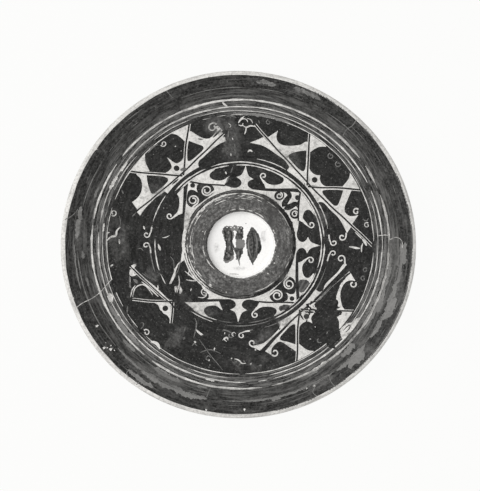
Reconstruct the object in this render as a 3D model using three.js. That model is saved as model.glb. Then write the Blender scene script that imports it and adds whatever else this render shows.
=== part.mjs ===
// A wheel-thrown pottery plate, thrown and fired as one piece of clay.
// A shallow dish on a ring foot: a sunk round centre inside a raised collar, a wide painted floor,
// turned ridges round the floor's edge, a hollow-curved wall and a flared rim with a rolled lip.
// Millimetres, +Z up. The origin is the centre of the foot, on the surface the plate stands on.

import * as THREE from "three";
import { mergeVertices } from "three/addons/utils/BufferGeometryUtils.js";

// Widths of the rings of the upper surface, measured outwards from the centre.
const CENTRE_RADIUS = 25.0;
const COLLAR_WIDTH = 13.3;
const COLLAR_SLOPE_WIDTH = 3.7;
const FLOOR_WIDTH = 56.7;
const RIDGED_BAND_WIDTH = 13.0;
const HOLLOW_WIDTH = 7.5;
const RIM_WIDTH = 9.7;
const LIP_RADIUS = 3.0;

// Heights and depths.
const FOOT_HEIGHT = 8.0;
const BODY_THICKNESS = 6.5;
const CENTRE_DEPTH = 2.4;
const COLLAR_HEIGHT = 3.0;
const COLLAR_CROWN = 0.7;
const FLOOR_RISE = 2.6;
const RIDGED_BAND_RISE = 1.6;
const HOLLOW_RISE = 6.5;
const RIM_RISE = 4.2;
const GROOVE_DEPTH = 0.5;

// The ring foot, and the edges of the collar.
const FOOT_RADIUS = 53.0;
const FOOT_WIDTH = 8.0;
const FOOT_TAPER = 2.0;
const FOOT_BEVEL = 0.8;
const COLLAR_EDGE = 0.9;

// The turned ridges: how far each crest stands from the floor's edge, its width and its height.
const RIDGES = [
  { fromFloor: 3.9, width: 2.4, height: 0.45 },
  { fromFloor: 7.4, width: 3.0, height: 0.9 },
  { fromFloor: 11.1, width: 3.4, height: 1.15 },
];

// The plate dried a little oval, and its rim sagged off centre and out of round.
const OVAL_SHARE = 0.0115;
const RIM_DRIFT_X = -0.86;
const RIM_DRIFT_Y = -0.68;
const RIM_LOBE = 0.32;
const RIM_LOBE_TURN = THREE.MathUtils.degToRad(-33);
const LOBES = 3;

// How finely the round forms are cut into flats.
const TURN_STEPS = 72;
const FLOOR_STEPS = 5;
const COLLAR_STEPS = 4;
const RIDGE_STEPS = 4;
const HOLLOW_STEPS = 4;
const LIP_STEPS = 7;
const UNDERSIDE_STEPS = 3;

const SLIP_COLOUR = 0x2b2a29;
const SLIP_ROUGHNESS = 0.42;

const collarEdge = CENTRE_RADIUS + COLLAR_WIDTH;
const floorStart = collarEdge + COLLAR_SLOPE_WIDTH;
const floorEnd = floorStart + FLOOR_WIDTH;
const hollowStart = floorEnd + RIDGED_BAND_WIDTH;
const rimStart = hollowStart + HOLLOW_WIDTH;
const lipCentre = rimStart + RIM_WIDTH;

const floorHeight = FOOT_HEIGHT + BODY_THICKNESS;
const floorEndHeight = floorHeight + FLOOR_RISE;
const hollowStartHeight = floorEndHeight + RIDGED_BAND_RISE;
const rimStartHeight = hollowStartHeight + HOLLOW_RISE;
const lipTopHeight = rimStartHeight + RIM_RISE;

const point = (radius, height) => new THREE.Vector2(radius, height);

// Points for t from 0 to 1, both ends included, as the function gives them.
function along(steps, at) {
  return Array.from({ length: steps + 1 }, (_, i) => at(i / steps));
}

// Height of the ridged band, without its ridges, at a radius.
function bandHeight(radius) {
  return floorEndHeight + (RIDGED_BAND_RISE * (radius - floorEnd)) / RIDGED_BAND_WIDTH;
}

// The sunk centre, with its low wall and the crowned collar round it.
function centreAndCollar() {
  const top = floorHeight + COLLAR_HEIGHT;
  const sunk = floorHeight - CENTRE_DEPTH;
  const crown = (t) =>
    point(
      CENTRE_RADIUS + COLLAR_EDGE + t * (COLLAR_WIDTH - COLLAR_EDGE),
      top + COLLAR_CROWN * Math.sin(Math.PI * t),
    );
  return [
    point(0, sunk),
    point(CENTRE_RADIUS - COLLAR_EDGE, sunk),
    point(CENTRE_RADIUS, sunk + COLLAR_EDGE),
    point(CENTRE_RADIUS, top - COLLAR_EDGE),
    ...along(COLLAR_STEPS, crown),
    point(collarEdge + COLLAR_SLOPE_WIDTH * 0.45, floorHeight + COLLAR_HEIGHT * 0.45),
  ];
}

// The wide floor, which rises a little faster the nearer it comes to the ridges.
function floor() {
  return along(FLOOR_STEPS, (t) =>
    point(floorStart + FLOOR_WIDTH * t, floorHeight + FLOOR_RISE * t * t),
  );
}

// One turned ridge, a half-round standing on the ridged band.
function ridge({ fromFloor, width, height }) {
  return along(RIDGE_STEPS, (t) => {
    const radius = floorEnd + fromFloor + width * (t - 0.5);
    return point(radius, bandHeight(radius) + height * Math.sin(Math.PI * t));
  });
}

// The hollow-curved wall that lifts the rim off the floor.
function hollow() {
  return along(HOLLOW_STEPS, (t) =>
    point(hollowStart + HOLLOW_WIDTH * t, hollowStartHeight + HOLLOW_RISE * t ** 1.5),
  );
}

// The flared rim, parted from the wall by a turned groove, and its rolled lip.
function rimAndLip() {
  const lipHeight = lipTopHeight - LIP_RADIUS;
  return [
    point(rimStart + GROOVE_DEPTH, rimStartHeight - GROOVE_DEPTH * 0.4),
    point(rimStart + GROOVE_DEPTH * 3, rimStartHeight + GROOVE_DEPTH),
    ...along(LIP_STEPS, (t) =>
      point(
        lipCentre + LIP_RADIUS * Math.sin(Math.PI * t),
        lipHeight + LIP_RADIUS * Math.cos(Math.PI * t),
      ),
    ),
  ];
}

// The underside, from the lip back to the foot, one body thickness below the upper surface.
function underside() {
  const wallFoot = point(hollowStart, hollowStartHeight - BODY_THICKNESS);
  const footTop = point(FOOT_RADIUS + FOOT_TAPER, floorHeight - BODY_THICKNESS);
  const shoulder = point(rimStart + BODY_THICKNESS * 0.25, rimStartHeight - BODY_THICKNESS);
  const sweep = along(UNDERSIDE_STEPS, (t) =>
    point(
      THREE.MathUtils.lerp(wallFoot.x, footTop.x, t),
      footTop.y + (wallFoot.y - footTop.y) * (1 - t) ** 2,
    ),
  );
  return [shoulder, ...sweep];
}

// The ring foot and the flat recess inside it, back to the axis.
function foot() {
  const inner = FOOT_RADIUS - FOOT_WIDTH;
  return [
    point(FOOT_RADIUS, FOOT_BEVEL),
    point(FOOT_RADIUS - FOOT_BEVEL, 0),
    point(inner + FOOT_BEVEL, 0),
    point(inner, FOOT_BEVEL),
    point(inner - FOOT_TAPER, FOOT_HEIGHT),
    point(0, FOOT_HEIGHT),
  ];
}

// Moves a point of the true round to where drying and sagging left it.
function settle(x, y) {
  const radius = Math.hypot(x, y);
  const share = THREE.MathUtils.smoothstep(radius, hollowStart, lipCentre);
  const lobe = RIM_LOBE * Math.cos(LOBES * (Math.atan2(y, x) - RIM_LOBE_TURN));
  const grown = radius > 0 ? 1 + (share * lobe) / radius : 1;
  return [
    x * grown * (1 + OVAL_SHARE) + share * RIM_DRIFT_X,
    y * grown * (1 - OVAL_SHARE) + share * RIM_DRIFT_Y,
  ];
}

// The whole section turned round the axis, then settled.
function plateGeometry() {
  const section = [
    ...centreAndCollar(),
    ...floor(),
    ...RIDGES.flatMap(ridge),
    ...hollow(),
    ...rimAndLip(),
    ...underside(),
    ...foot(),
  ];
  const turned = new THREE.LatheGeometry(section.reverse(), TURN_STEPS);
  turned.rotateX(Math.PI / 2);
  turned.deleteAttribute("normal");
  turned.deleteAttribute("uv");
  const geometry = mergeVertices(turned);
  const places = geometry.getAttribute("position");
  for (let i = 0; i < places.count; i++) {
    const [x, y] = settle(places.getX(i), places.getY(i));
    places.setXY(i, x, y);
  }
  geometry.computeVertexNormals();
  return geometry;
}

const plate = new THREE.Mesh(
  plateGeometry(),
  new THREE.MeshStandardMaterial({
    color: SLIP_COLOUR,
    roughness: SLIP_ROUGHNESS,
    metalness: 0,
  }),
);
plate.name = "plate";

const part = new THREE.Group();
part.add(plate);

export default part;
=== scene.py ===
"""Pottery plate: a wheel-thrown dish on a ring foot, its floor painted in slip with squares and scrolls.

The operators' settings are metres. The drawing code works in millimetres, as a potter and a painter
would, and MM turns them into metres when the mesh is made. Angles in degrees run anticlockwise from +X.
"""

import math
from types import SimpleNamespace

import bpy
import numpy as np
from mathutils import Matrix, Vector
from mathutils.geometry import delaunay_2d_cdt


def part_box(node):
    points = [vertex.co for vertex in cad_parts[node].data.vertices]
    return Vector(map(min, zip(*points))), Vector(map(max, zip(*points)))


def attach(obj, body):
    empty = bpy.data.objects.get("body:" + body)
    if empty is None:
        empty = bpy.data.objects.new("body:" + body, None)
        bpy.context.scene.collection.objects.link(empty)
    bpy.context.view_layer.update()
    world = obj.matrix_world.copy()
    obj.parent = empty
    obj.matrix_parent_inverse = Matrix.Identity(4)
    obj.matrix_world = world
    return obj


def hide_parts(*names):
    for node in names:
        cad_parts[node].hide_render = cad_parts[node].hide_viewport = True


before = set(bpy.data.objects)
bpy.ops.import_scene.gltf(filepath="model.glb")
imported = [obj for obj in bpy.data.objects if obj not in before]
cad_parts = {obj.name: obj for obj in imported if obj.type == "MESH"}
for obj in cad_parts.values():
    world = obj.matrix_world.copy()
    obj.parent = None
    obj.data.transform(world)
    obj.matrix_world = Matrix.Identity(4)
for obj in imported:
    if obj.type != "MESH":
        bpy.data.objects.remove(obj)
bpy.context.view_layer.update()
PLATE_LOW, PLATE_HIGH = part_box("plate")

bl_info = {
    "name": "Painted Pottery Plate",
    "version": (1, 0, 0),
    "blender": (4, 5, 0),
    "location": "3D View > Sidebar > Plate",
    "description": "Builds a slip-painted pottery plate and a plain studio stage round it",
    "category": "Add Mesh",
}

MM = 0.001


def linear(hex_colour):
    """The linear RGBA of an sRGB hex colour."""
    channels = [int(hex_colour[i : i + 2], 16) / 255 for i in (1, 3, 5)]
    return (*[c / 12.92 if c <= 0.04045 else ((c + 0.055) / 1.055) ** 2.4 for c in channels], 1.0)


def length(name, description, millimetres):
    """A length setting, given in millimetres and kept in metres."""
    return bpy.props.FloatProperty(
        name=name, description=description, default=millimetres * MM, unit="LENGTH", subtype="DISTANCE"
    )


def colour(name, description, hex_colour):
    """A colour setting, given as sRGB and kept linear."""
    shade = linear(hex_colour)
    return bpy.props.FloatVectorProperty(
        name=name, description=description, default=shade, size=4, min=0, max=1, subtype="COLOR"
    )


# Settings.


class PlateSizes(bpy.types.PropertyGroup):
    """Widths and heights of the turned section, the same as the CAD body's."""

    centre_radius: length("Centre radius", "Radius of the sunk round centre", 25.0)
    collar_width: length("Collar width", "Width of the raised collar's top", 13.3)
    collar_slope_width: length("Collar slope", "Width of the collar's outer slope", 3.7)
    floor_width: length("Floor width", "Width of the painted floor", 56.7)
    ridged_band_width: length("Ridged band", "Width of the band that carries the turned ridges", 13.0)
    hollow_width: length("Hollow width", "Width of the hollow-curved wall", 7.5)
    rim_width: length("Rim width", "Width of the flared rim, up to the top of its lip", 9.7)
    lip_radius: length("Lip radius", "Radius of the rolled lip", 3.0)
    foot_height: length("Foot height", "Height of the ring foot", 8.0)
    body_thickness: length("Body thickness", "Thickness of the clay under the floor", 6.5)
    centre_depth: length("Centre depth", "How far the round centre is sunk", 2.4)
    collar_height: length("Collar height", "Height of the collar over the floor", 3.0)
    collar_crown: length("Collar crown", "How far the collar's top swells", 0.7)
    collar_edge: length("Collar edge", "Rounding of the collar's inner edges", 0.9)
    floor_rise: length("Floor rise", "How far the floor rises to its edge", 2.6)
    ridged_band_rise: length("Ridged band rise", "How far the ridged band rises", 1.6)
    hollow_rise: length("Hollow rise", "How far the hollow-curved wall rises", 6.5)
    groove_depth: length("Groove depth", "Depth of the groove between wall and rim", 0.5)
    foot_radius: length("Foot radius", "Outer radius of the ring foot", 53.0)
    foot_width: length("Foot width", "Width of the ring foot where it stands", 8.0)
    foot_taper: length("Foot taper", "How far the foot spreads at its root", 2.0)
    foot_bevel: length("Foot bevel", "Rounding of the foot's edges", 0.8)


class PlateColours(bpy.types.PropertyGroup):
    """Colours of the clay and its slips."""

    slip: colour("Slip", "Black slip painted on the floor", "#191918")
    wall_slip: colour("Wall slip", "Thinner black slip on the wall, and in the flaked skin", "#2b2b2a")
    clay: colour("Clay", "Bare fired clay left in reserve", "#e4e2de")
    wash: colour("Wash", "Grey wash on the collar", "#82817f")
    ground: colour("Ground", "White ground of the round centre", "#f6f5f3")
    figure: colour("Figure", "Thin black of the leaves in the centre", "#2f2f2e")
    worn: colour("Worn slip", "Slip rubbed thin or flaked to a grey skin", "#82817f")
    soil: colour("Soil", "Dark stain that burial left over the clay", "#3f3e3d")


class StageSettings(bpy.types.PropertyGroup):
    """The studio round the plate."""

    floor_colour: colour("Floor", "Pale paper floor", "#fdfdfc")
    key_power: bpy.props.FloatProperty(
        name="Key power", description="Power of the large soft light", default=14.0, unit="POWER"
    )
    fill_strength: bpy.props.FloatProperty(
        name="Fill", description="Strength of the even light from all round", default=0.62
    )
    camera_height: length("Camera height", "Height of the camera over the floor", 3200.0)
    view_width: length("View width", "Width that the camera sees at the plate", 360.0)


# The turned body.

# The plate dried a little oval, and its rim sagged off centre and out of round.
OVAL_SHARE = 0.0115
RIM_DRIFT = (-0.86, -0.68)
RIM_LOBE = 0.32
RIM_LOBE_TURN = math.radians(-33)
LOBES = 3

# Crests of the turned ridges, from the floor's edge, with their widths and heights.
RIDGES = ((3.9, 2.4, 0.45), (7.4, 3.0, 0.9), (11.1, 3.4, 1.15))

# Powers that curve the collar's slope, the sides of the ridges and the hollow wall.
SLOPE_POWER = 1.336
RIDGE_POWER = 1.3
HOLLOW_POWER = 1.5

# How many points a full circle has, and how many steps the rolled lip is cut in.
TURN_POINTS = 360
LIP_STEPS = 16


def section_of(sizes):
    """The section's radii and heights in millimetres, worked out from the sizes."""
    s = SimpleNamespace(**{name: getattr(sizes, name) / MM for name in PlateSizes.__annotations__})
    s.crown_start = s.centre_radius + s.collar_edge
    s.centre_end = s.centre_radius - s.collar_edge
    s.collar_end = s.centre_radius + s.collar_width
    s.floor_start = s.collar_end + s.collar_slope_width
    s.floor_end = s.floor_start + s.floor_width
    s.hollow_start = s.floor_end + s.ridged_band_width
    s.rim_start = s.hollow_start + s.hollow_width
    s.lip_centre = s.rim_start + s.rim_width
    s.floor_height = s.foot_height + s.body_thickness
    s.sunk_height = s.floor_height - s.centre_depth
    s.collar_top = s.floor_height + s.collar_height
    s.floor_end_height = s.floor_height + s.floor_rise
    s.hollow_start_height = s.floor_end_height + s.ridged_band_rise
    s.rim_start_height = s.hollow_start_height + s.hollow_rise
    s.lip_top = PLATE_HIGH.z / MM
    return s


def share(value, start, end):
    """How far value is from start to end, from 0 to 1."""
    return np.clip((value - start) / (end - start), 0, 1)


def smooth(value, start, end):
    """The same, easing in and out."""
    t = share(value, start, end)
    return t * t * (3 - 2 * t)


def top_height(s, radius):
    """Height of the upper surface at each radius, out to the top of the lip."""
    crown = s.collar_top + s.collar_crown * np.sin(np.pi * share(radius, s.crown_start, s.collar_end))
    fallen = (1 - share(radius, s.collar_end, s.floor_start)) ** SLOPE_POWER
    slope = s.floor_height + s.collar_height * fallen
    floor = s.floor_height + s.floor_rise * share(radius, s.floor_start, s.floor_end) ** 2
    band = s.floor_end_height + s.ridged_band_rise * share(radius, s.floor_end, s.hollow_start)
    for crest, width, height in RIDGES:
        across = np.clip((radius - s.floor_end - crest) / width + 0.5, 0, 1)
        band = band + height * np.sin(np.pi * across) ** RIDGE_POWER
    risen = share(radius, s.hollow_start, s.rim_start) ** HOLLOW_POWER
    hollow = s.hollow_start_height + s.hollow_rise * risen
    groove = s.rim_start + s.groove_depth
    groove_low = s.rim_start_height - 0.4 * s.groove_depth
    groove_end = s.rim_start_height + s.groove_depth
    rim_radii = [s.rim_start, groove, groove + 2 * s.groove_depth, s.lip_centre]
    rim = np.interp(radius, rim_radii, [s.rim_start_height, groove_low, groove_end, s.lip_top])
    edges = [s.centre_radius, s.collar_end, s.floor_start, s.floor_end, s.hollow_start, s.rim_start]
    heights = [np.full_like(radius, s.sunk_height), crown, slope, floor, band, hollow]
    return np.select([radius < edge for edge in edges], heights, rim)


def settled(s, places):
    """The places moved from the true round to where drying and sagging left them."""
    x, y = places[:, 0], places[:, 1]
    radius = np.maximum(np.hypot(x, y), 1e-6)
    sag = smooth(radius, s.hollow_start, s.lip_centre)
    grown = 1 + sag * RIM_LOBE * np.cos(LOBES * (np.arctan2(y, x) - RIM_LOBE_TURN)) / radius
    new_x = x * grown * (1 + OVAL_SHARE) + sag * RIM_DRIFT[0]
    new_y = y * grown * (1 - OVAL_SHARE) + sag * RIM_DRIFT[1]
    return np.column_stack([new_x, new_y, places[:, 2]])


def arc(centre, radius, start, end, steps):
    """Points of an arc, with its ends, from one angle in degrees to another."""
    angles = np.radians(np.linspace(start, end, steps + 1))
    return np.column_stack([centre[0] + radius * np.cos(angles), centre[1] + radius * np.sin(angles)])


def circle(radius, steps=TURN_POINTS):
    """A full circle round the axis, its first point on +X and no point twice."""
    return arc((0, 0), radius, 0, 360, steps)[:-1]


# Drawing.

# How far points of a drawn curve stand apart, how many a curl has to a turn, and what share of its
# radius it winds in.
POINT_STEP = 0.55
CURL_POINTS = 10
CURL_IN = 0.62

# How far a hand that draws freely strays, in long and in short waves.
LONG_STRAY = 0.28
SHORT_STRAY = 0.16


def sharp(across, out):
    """A point of an outline that is a corner. The others are rounded."""
    return (across, out, "corner")


def drawn(points, closed=True, step=POINT_STEP):
    """Points about a step apart on the curve through these points, which turns sharply at sharp ones."""
    places = np.array([p[:2] for p in points], float)
    count = len(places)
    corners = [len(p) > 2 for p in points]
    if not closed:
        corners[0] = corners[-1] = True
    found = []
    for i in range(count if closed else count - 1):
        j = (i + 1) % count
        a, b = places[i], places[j]
        span = np.linalg.norm(b - a)
        leave = arrive = b - a
        if not corners[i]:
            chord = b - places[i - 1]
            leave = chord * span / np.linalg.norm(chord)
        if not corners[j]:
            chord = places[(j + 1) % count] - a
            arrive = chord * span / np.linalg.norm(chord)
        steps = max(2, round(span / step))
        t = np.arange(steps)[:, None] / steps
        found.append(
            (2 * t**3 - 3 * t**2 + 1) * a
            + (t**3 - 2 * t**2 + t) * leave
            + (3 * t**2 - 2 * t**3) * b
            + (t**3 - t**2) * arrive
        )
    if not closed:
        found.append(places[-1:])
    return np.vstack(found)


def stroke(points, widths, step=POINT_STEP):
    """The outline of a brush stroke along points, as wide as widths say from its start to its end."""
    path = drawn(points, closed=False, step=step)
    along = np.gradient(path, axis=0)
    along /= np.linalg.norm(along, axis=1)[:, None]
    aside = np.column_stack([-along[:, 1], along[:, 0]])
    half = np.interp(np.linspace(0, 1, len(path)), np.linspace(0, 1, len(widths)), widths)[:, None] / 2
    return np.vstack([path + aside * half, (path - aside * half)[::-1]])


def curl(centre, radius, start, turns, width, lead=()):
    """The outline of a curl that winds in from radius at angle start, after the points that lead to it."""
    steps = max(6, round(abs(turns) * CURL_POINTS))
    t = np.linspace(0, 1, steps + 1)
    angles = math.radians(start) + 2 * math.pi * turns * t
    reach = radius * (1 - CURL_IN * t)
    wound = np.column_stack([centre[0] + reach * np.cos(angles), centre[1] + reach * np.sin(angles)])
    path = [tuple(p) for p in (*lead, *wound)]
    return stroke(path, [width * 1.25, width, width * 0.9, width * 1.1], step=0.4)


def hand_drawn(places):
    """Places shifted a little, unevenly, as a hand that draws freely would shift them."""
    x, y = places[:, 0], places[:, 1]
    new_x = x + LONG_STRAY * np.sin(y / 7.3 + 1.1) + SHORT_STRAY * np.sin(x / 3.9 + y / 5.1)
    new_y = y + LONG_STRAY * np.sin(x / 6.7 + 2.3) + SHORT_STRAY * np.sin(y / 4.3 - x / 4.7 + 0.7)
    return np.column_stack([new_x, new_y])


# The paints, which are also the numbers of the plate's material slots. GAP is none: what it covers
# is left out of the upper surface.
(
    SLIP, CLAY, LINE_CLAY, FAINT, RIM_SLIP, WALL_SLIP, RIDGE_SLIP,
    WASH, GROUND, FIGURE, LIP_CLAY, SKIN, GAP,
) = range(13)

# Widths of a ruled line and of the bare clay left along it.
LINE_WIDTH = 1.25
MARGIN_WIDTH = 2.15

# Lines drawn on the wheel: how finely they are cut in degrees, the most steps laid in one piece and the
# fewest that are left of one, how far they run oval and waver, the direction that they drift to, and
# the level under which they are worn off, for no wear and for each share of it.
RING_STEP = 1.25
LONGEST_PIECE = 48
SHORTEST_PIECE = 3
RING_OVAL = 0.3
RING_WAVER = 0.18
DRIFT_TURN = 0.35
LEAST_WORN = -0.95
WORN_SPREAD = 1.7

# How often round the plate the edges of torn patches go in and out, and how deep.
TEAR_CYCLES = (31, 71, 127, 211, 337, 401)
TEAR_DEPTH = 0.6


def uneven(degrees, seed, cycles=(2, 3, 5, 9, 16, 27)):
    """A smooth, uneven curve round the plate, from about -1 to 1, always the same for one seed."""
    random = np.random.default_rng(seed)
    turns = np.radians(degrees)[:, None] * np.array(cycles) + random.uniform(0, 2 * math.pi, len(cycles))
    sizes = random.uniform(0.5, 1.0, len(cycles))
    return np.sin(turns) @ sizes / sizes.sum() * 1.6


def ragged(outline, depth, seed):
    """An outline with its edge torn in and out by up to depth."""
    count = len(outline)
    along = np.roll(outline, -1, axis=0) - np.roll(outline, 1, axis=0)
    along /= np.maximum(np.linalg.norm(along, axis=1), 1e-9)[:, None]
    aside = np.column_stack([-along[:, 1], along[:, 0]])
    cycles = [c for c in (3, 5, 8, 13, 21, 34, 55, 89) if c < count / 3]
    tear = uneven(np.arange(count) * 360 / count, seed, cycles)
    return outline + aside * (depth * tear)[:, None]


class Painting:
    """Outlines laid one over another. The last one laid over a spot is the paint that shows there."""

    def __init__(self):
        self.outlines = []
        self.paints = []

    def lay(self, paint, outline):
        """Lays one outline, turned to run anticlockwise, since its inside is taken to be on its left."""
        x, y = outline.T
        area = np.sum(x * np.roll(y, -1) - y * np.roll(x, -1))
        self.outlines.append(outline if area > 0 else outline[::-1])
        self.paints.append(paint)

    def band(self, paint, inner, outer):
        """A ring from one radius to another, as two halves, since an outline holds no hole."""
        for start in (0, 180):
            outside = arc((0, 0), outer, start, start + 180, TURN_POINTS // 2)
            inside = arc((0, 0), inner, start + 180, start, TURN_POINTS // 2)
            self.lay(paint, np.vstack([outside, inside]))

    def strip(self, paint, degrees, inner, outer):
        """A strip that follows the turning, between two radii that are given at each angle."""
        turns = np.radians(degrees)
        around = np.column_stack([np.cos(turns), np.sin(turns)])
        self.lay(paint, np.vstack([around * outer[:, None], (around * inner[:, None])[::-1]]))

    def worn_ring(self, paint, radius, width, seed, wear=0.2, gaps=(), drift=0.0):
        """A line drawn on the wheel: it wavers, is thick and thin, and is broken where it is worn.
        wear is the share that is worn off, besides the gaps, which run from one angle to another. drift
        is how far the line's middle lies to the right of the plate's."""
        degrees = np.arange(0, 360 + RING_STEP, RING_STEP)
        turns = np.radians(degrees)
        middle = radius + RING_OVAL * np.cos(2 * turns) + drift * np.cos(turns + DRIFT_TURN)
        middle = middle + RING_WAVER * uneven(degrees, seed)
        half = width / 2 * (1 + 0.5 * uneven(degrees, seed + 1, (5, 11, 23, 41, 67, 97)))
        shown = uneven(degrees, seed + 2, (3, 7, 13, 29, 53)) > LEAST_WORN + WORN_SPREAD * wear
        for start, end in gaps:
            shown &= (degrees < start) | (degrees > end)
        ends = np.flatnonzero(np.diff(np.concatenate([[0], shown.astype(int), [0]])))
        for first, last in zip(ends[::2], ends[1::2]):
            if last - first < SHORTEST_PIECE:
                continue
            from_end = np.minimum(np.arange(first, last) - first, last - 1 - np.arange(first, last))
            half[first:last] *= np.clip(0.25 + from_end / 4, 0, 1)
            for start in range(first, last - 1, LONGEST_PIECE):
                part = slice(start, min(start + LONGEST_PIECE + 1, last))
                self.strip(paint, degrees[part], middle[part] - half[part], middle[part] + half[part])

    def rings(self, lines, seed, seed_step=5, drift=0.0):
        """Worn rings, each given as its paint, radius, width, worn share and gaps."""
        for i, (paint, radius, width, wear, gaps) in enumerate(lines):
            self.worn_ring(paint, radius, width, seed + seed_step * i, wear, gaps, drift)

    def torn_strip(self, paint, start, end, inner, outer, seed):
        """A patch drawn out along the turning, with torn edges and ragged, narrowing ends."""
        degrees = np.linspace(start, end, max(8, round((end - start) * 2.4)))
        t = np.linspace(0, 1, len(degrees))
        full = np.minimum(1, 2.6 * np.sqrt(t * (1 - t))) * 0.95 + 0.05
        middle = (inner + outer) / 2 + 0.1 * (outer - inner) * uneven(degrees, seed, (19, 47, 83))
        half = (outer - inner) / 2 * full
        low = middle - half * (1 + TEAR_DEPTH * uneven(degrees, seed + 1, TEAR_CYCLES))
        high = middle + half * (1 + TEAR_DEPTH * uneven(degrees, seed + 2, TEAR_CYCLES))
        self.strip(paint, degrees, low, np.maximum(high, low + 0.1))

    def torn_strips(self, paint, strips, seed, seed_step):
        """Torn strips, each given as the two angles and the two radii that it lies between."""
        for i, strip in enumerate(strips):
            self.torn_strip(paint, *strip, seed + seed_step * i)


class Brush:
    """Lays outlines in a painting. Their points are (across, out): out along an angle from the centre,
    and across it clockwise, or anticlockwise where side is -1."""

    def __init__(self, painting, angle, side=1):
        self.painting = painting
        self.turn = math.radians(angle)
        self.side = side

    def places(self, outline):
        """Where an outline's points lie on the plate."""
        across, out = np.asarray(outline, float).T
        across = across * self.side
        c, s = math.cos(self.turn), math.sin(self.turn)
        return np.column_stack([out * c + across * s, out * s - across * c])

    def lay(self, paint, outline):
        """Lays an outline, drawn by hand."""
        self.painting.lay(paint, hand_drawn(self.places(outline)))

    def shape(self, paint, points):
        """A shape with a smooth edge through its points."""
        self.lay(paint, drawn(points))

    def torn(self, paint, points, depth, seed):
        """A shape whose edge is torn."""
        self.lay(paint, ragged(drawn(points), depth, seed))

    def dot(self, paint, centre, radius):
        """A round dot."""
        self.lay(paint, arc(centre, radius, 0, 360, 18)[:-1])

    def trace(self, paint, points, width):
        """A short stroke that thins out at both ends."""
        self.lay(paint, stroke(points, [width * 0.4, width, width, width * 0.45]))

    def margin(self, start, end):
        """The bare clay that shows on both sides of a ruled line."""
        self.lay(CLAY, stroke([start, end], [MARGIN_WIDTH, MARGIN_WIDTH], step=4))

    def rule(self, start, end):
        """The dark of a ruled line."""
        self.lay(SLIP, stroke([start, end], [LINE_WIDTH, LINE_WIDTH], step=4))


def brushes(painting, angle):
    """A brush for each side of an angle, left and right as one looks outwards."""
    return Brush(painting, angle, side=-1), Brush(painting, angle, side=1)


# Radii of the rings, from the inside out: where each paint ends. The slip of each zone runs on a
# little under what was laid after it.
INNER_ZONE_END = 60.2
INNER_SLIP_END = INNER_ZONE_END + 1.5
OUTER_ZONE_START = 66.0
OUTER_ZONE_END = 98.6
FLOOR_SLIP_END = OUTER_ZONE_END + 0.9
RIDGES_START = 101.6
RIDGES_END = 111.4
WALL_END = 119.0
LIP_LINE = 128.5

# Lines drawn on the wheel over the floor, between its zones, on the ridges and on the rim: paint,
# radius, width, share worn off, and the angles between which nothing of that paint is left.
FLOOR_LINES = (
    (LINE_CLAY, 66.4, 0.85, 0.10, ((79, 128), (173, 273), (280, 351))),
    (FAINT, 66.4, 0.70, 0.00, ((0, 181), (199, 264), (271, 286), (351, 360))),
)
ZONE_LINES = (
    (CLAY, 60.7, 0.80, 0.10, ((137, 180), (183, 234), (254, 294))),
    (CLAY, 62.8, 0.80, 0.02, ((141, 175), (209, 234), (254, 294))),
    (FAINT, 60.7, 0.60, 0.10, ((0, 254), (294, 360))),
    (FAINT, 62.8, 0.60, 0.00, ((0, 254), (294, 360))),
)
GREY_RIDGE_LINES = (
    (FAINT, 100.3, 0.50, 0.40, ()),
    (FAINT, 103.4, 0.60, 0.45, ()),
    (FAINT, 106.6, 0.60, 0.40, ()),
    (FAINT, 107.9, 0.50, 0.45, ()),
    (FAINT, 111.3, 0.60, 0.50, ()),
)
PALE_RIDGE_LINES = (
    (LINE_CLAY, 99.1, 0.60, 0.08, ()),
    (LINE_CLAY, 102.2, 0.55, 0.20, ()),
    (LINE_CLAY, 105.3, 0.95, 0.00, ()),
    (LINE_CLAY, 110.3, 1.40, 0.00, ()),
)
RIM_LINES = (
    (FAINT, 113.2, 0.50, 0.50, ()),
    (FAINT, 115.6, 0.40, 0.60, ()),
    (FAINT, 119.5, 0.60, 0.40, ()),
    (FAINT, 122.6, 0.40, 0.66, ()),
    (FAINT, 125.6, 0.40, 0.66, ()),
)

# How far the ridges' lines lie off the middle of the plate.
RIDGE_DRIFT = 0.55


def sector_half(lean, **differences):
    """One half of a sector of the outer zone, from its middle to where the next sector starts.

    lean: how far the square's side leans out; tail: how far the bare fishtail reaches; triangle:
    whether the bare triangle beside the heart is there, and heart: how far it is shifted; wing: the
    edge of the bare wing, out to its tip, with its foot on the square's side; black: whether the wing
    holds a black triangle; wing_curl: the curl at its tip; flare: the edge of the strip under the
    side, as (across, depth), out to its tip, with the corner above it; side_end and slant_end: how
    far the clay margins of the ruled lines can still be seen."""
    usual = dict(
        tail=16.0, heart=0.0, triangle=True, black=True, wing=(), foot=0.0, wing_curl=None,
        flare=(), corner=(0.0, 0.0), side_end=70.0, slant_end=31.0,
    )
    return SimpleNamespace(lean=lean, **(usual | differences))


# How far out the middle of each side of the outer square lies, and how far across its lean is given.
SQUARE_SIDE = 68.7
LEAN_AT = 45.0

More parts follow.
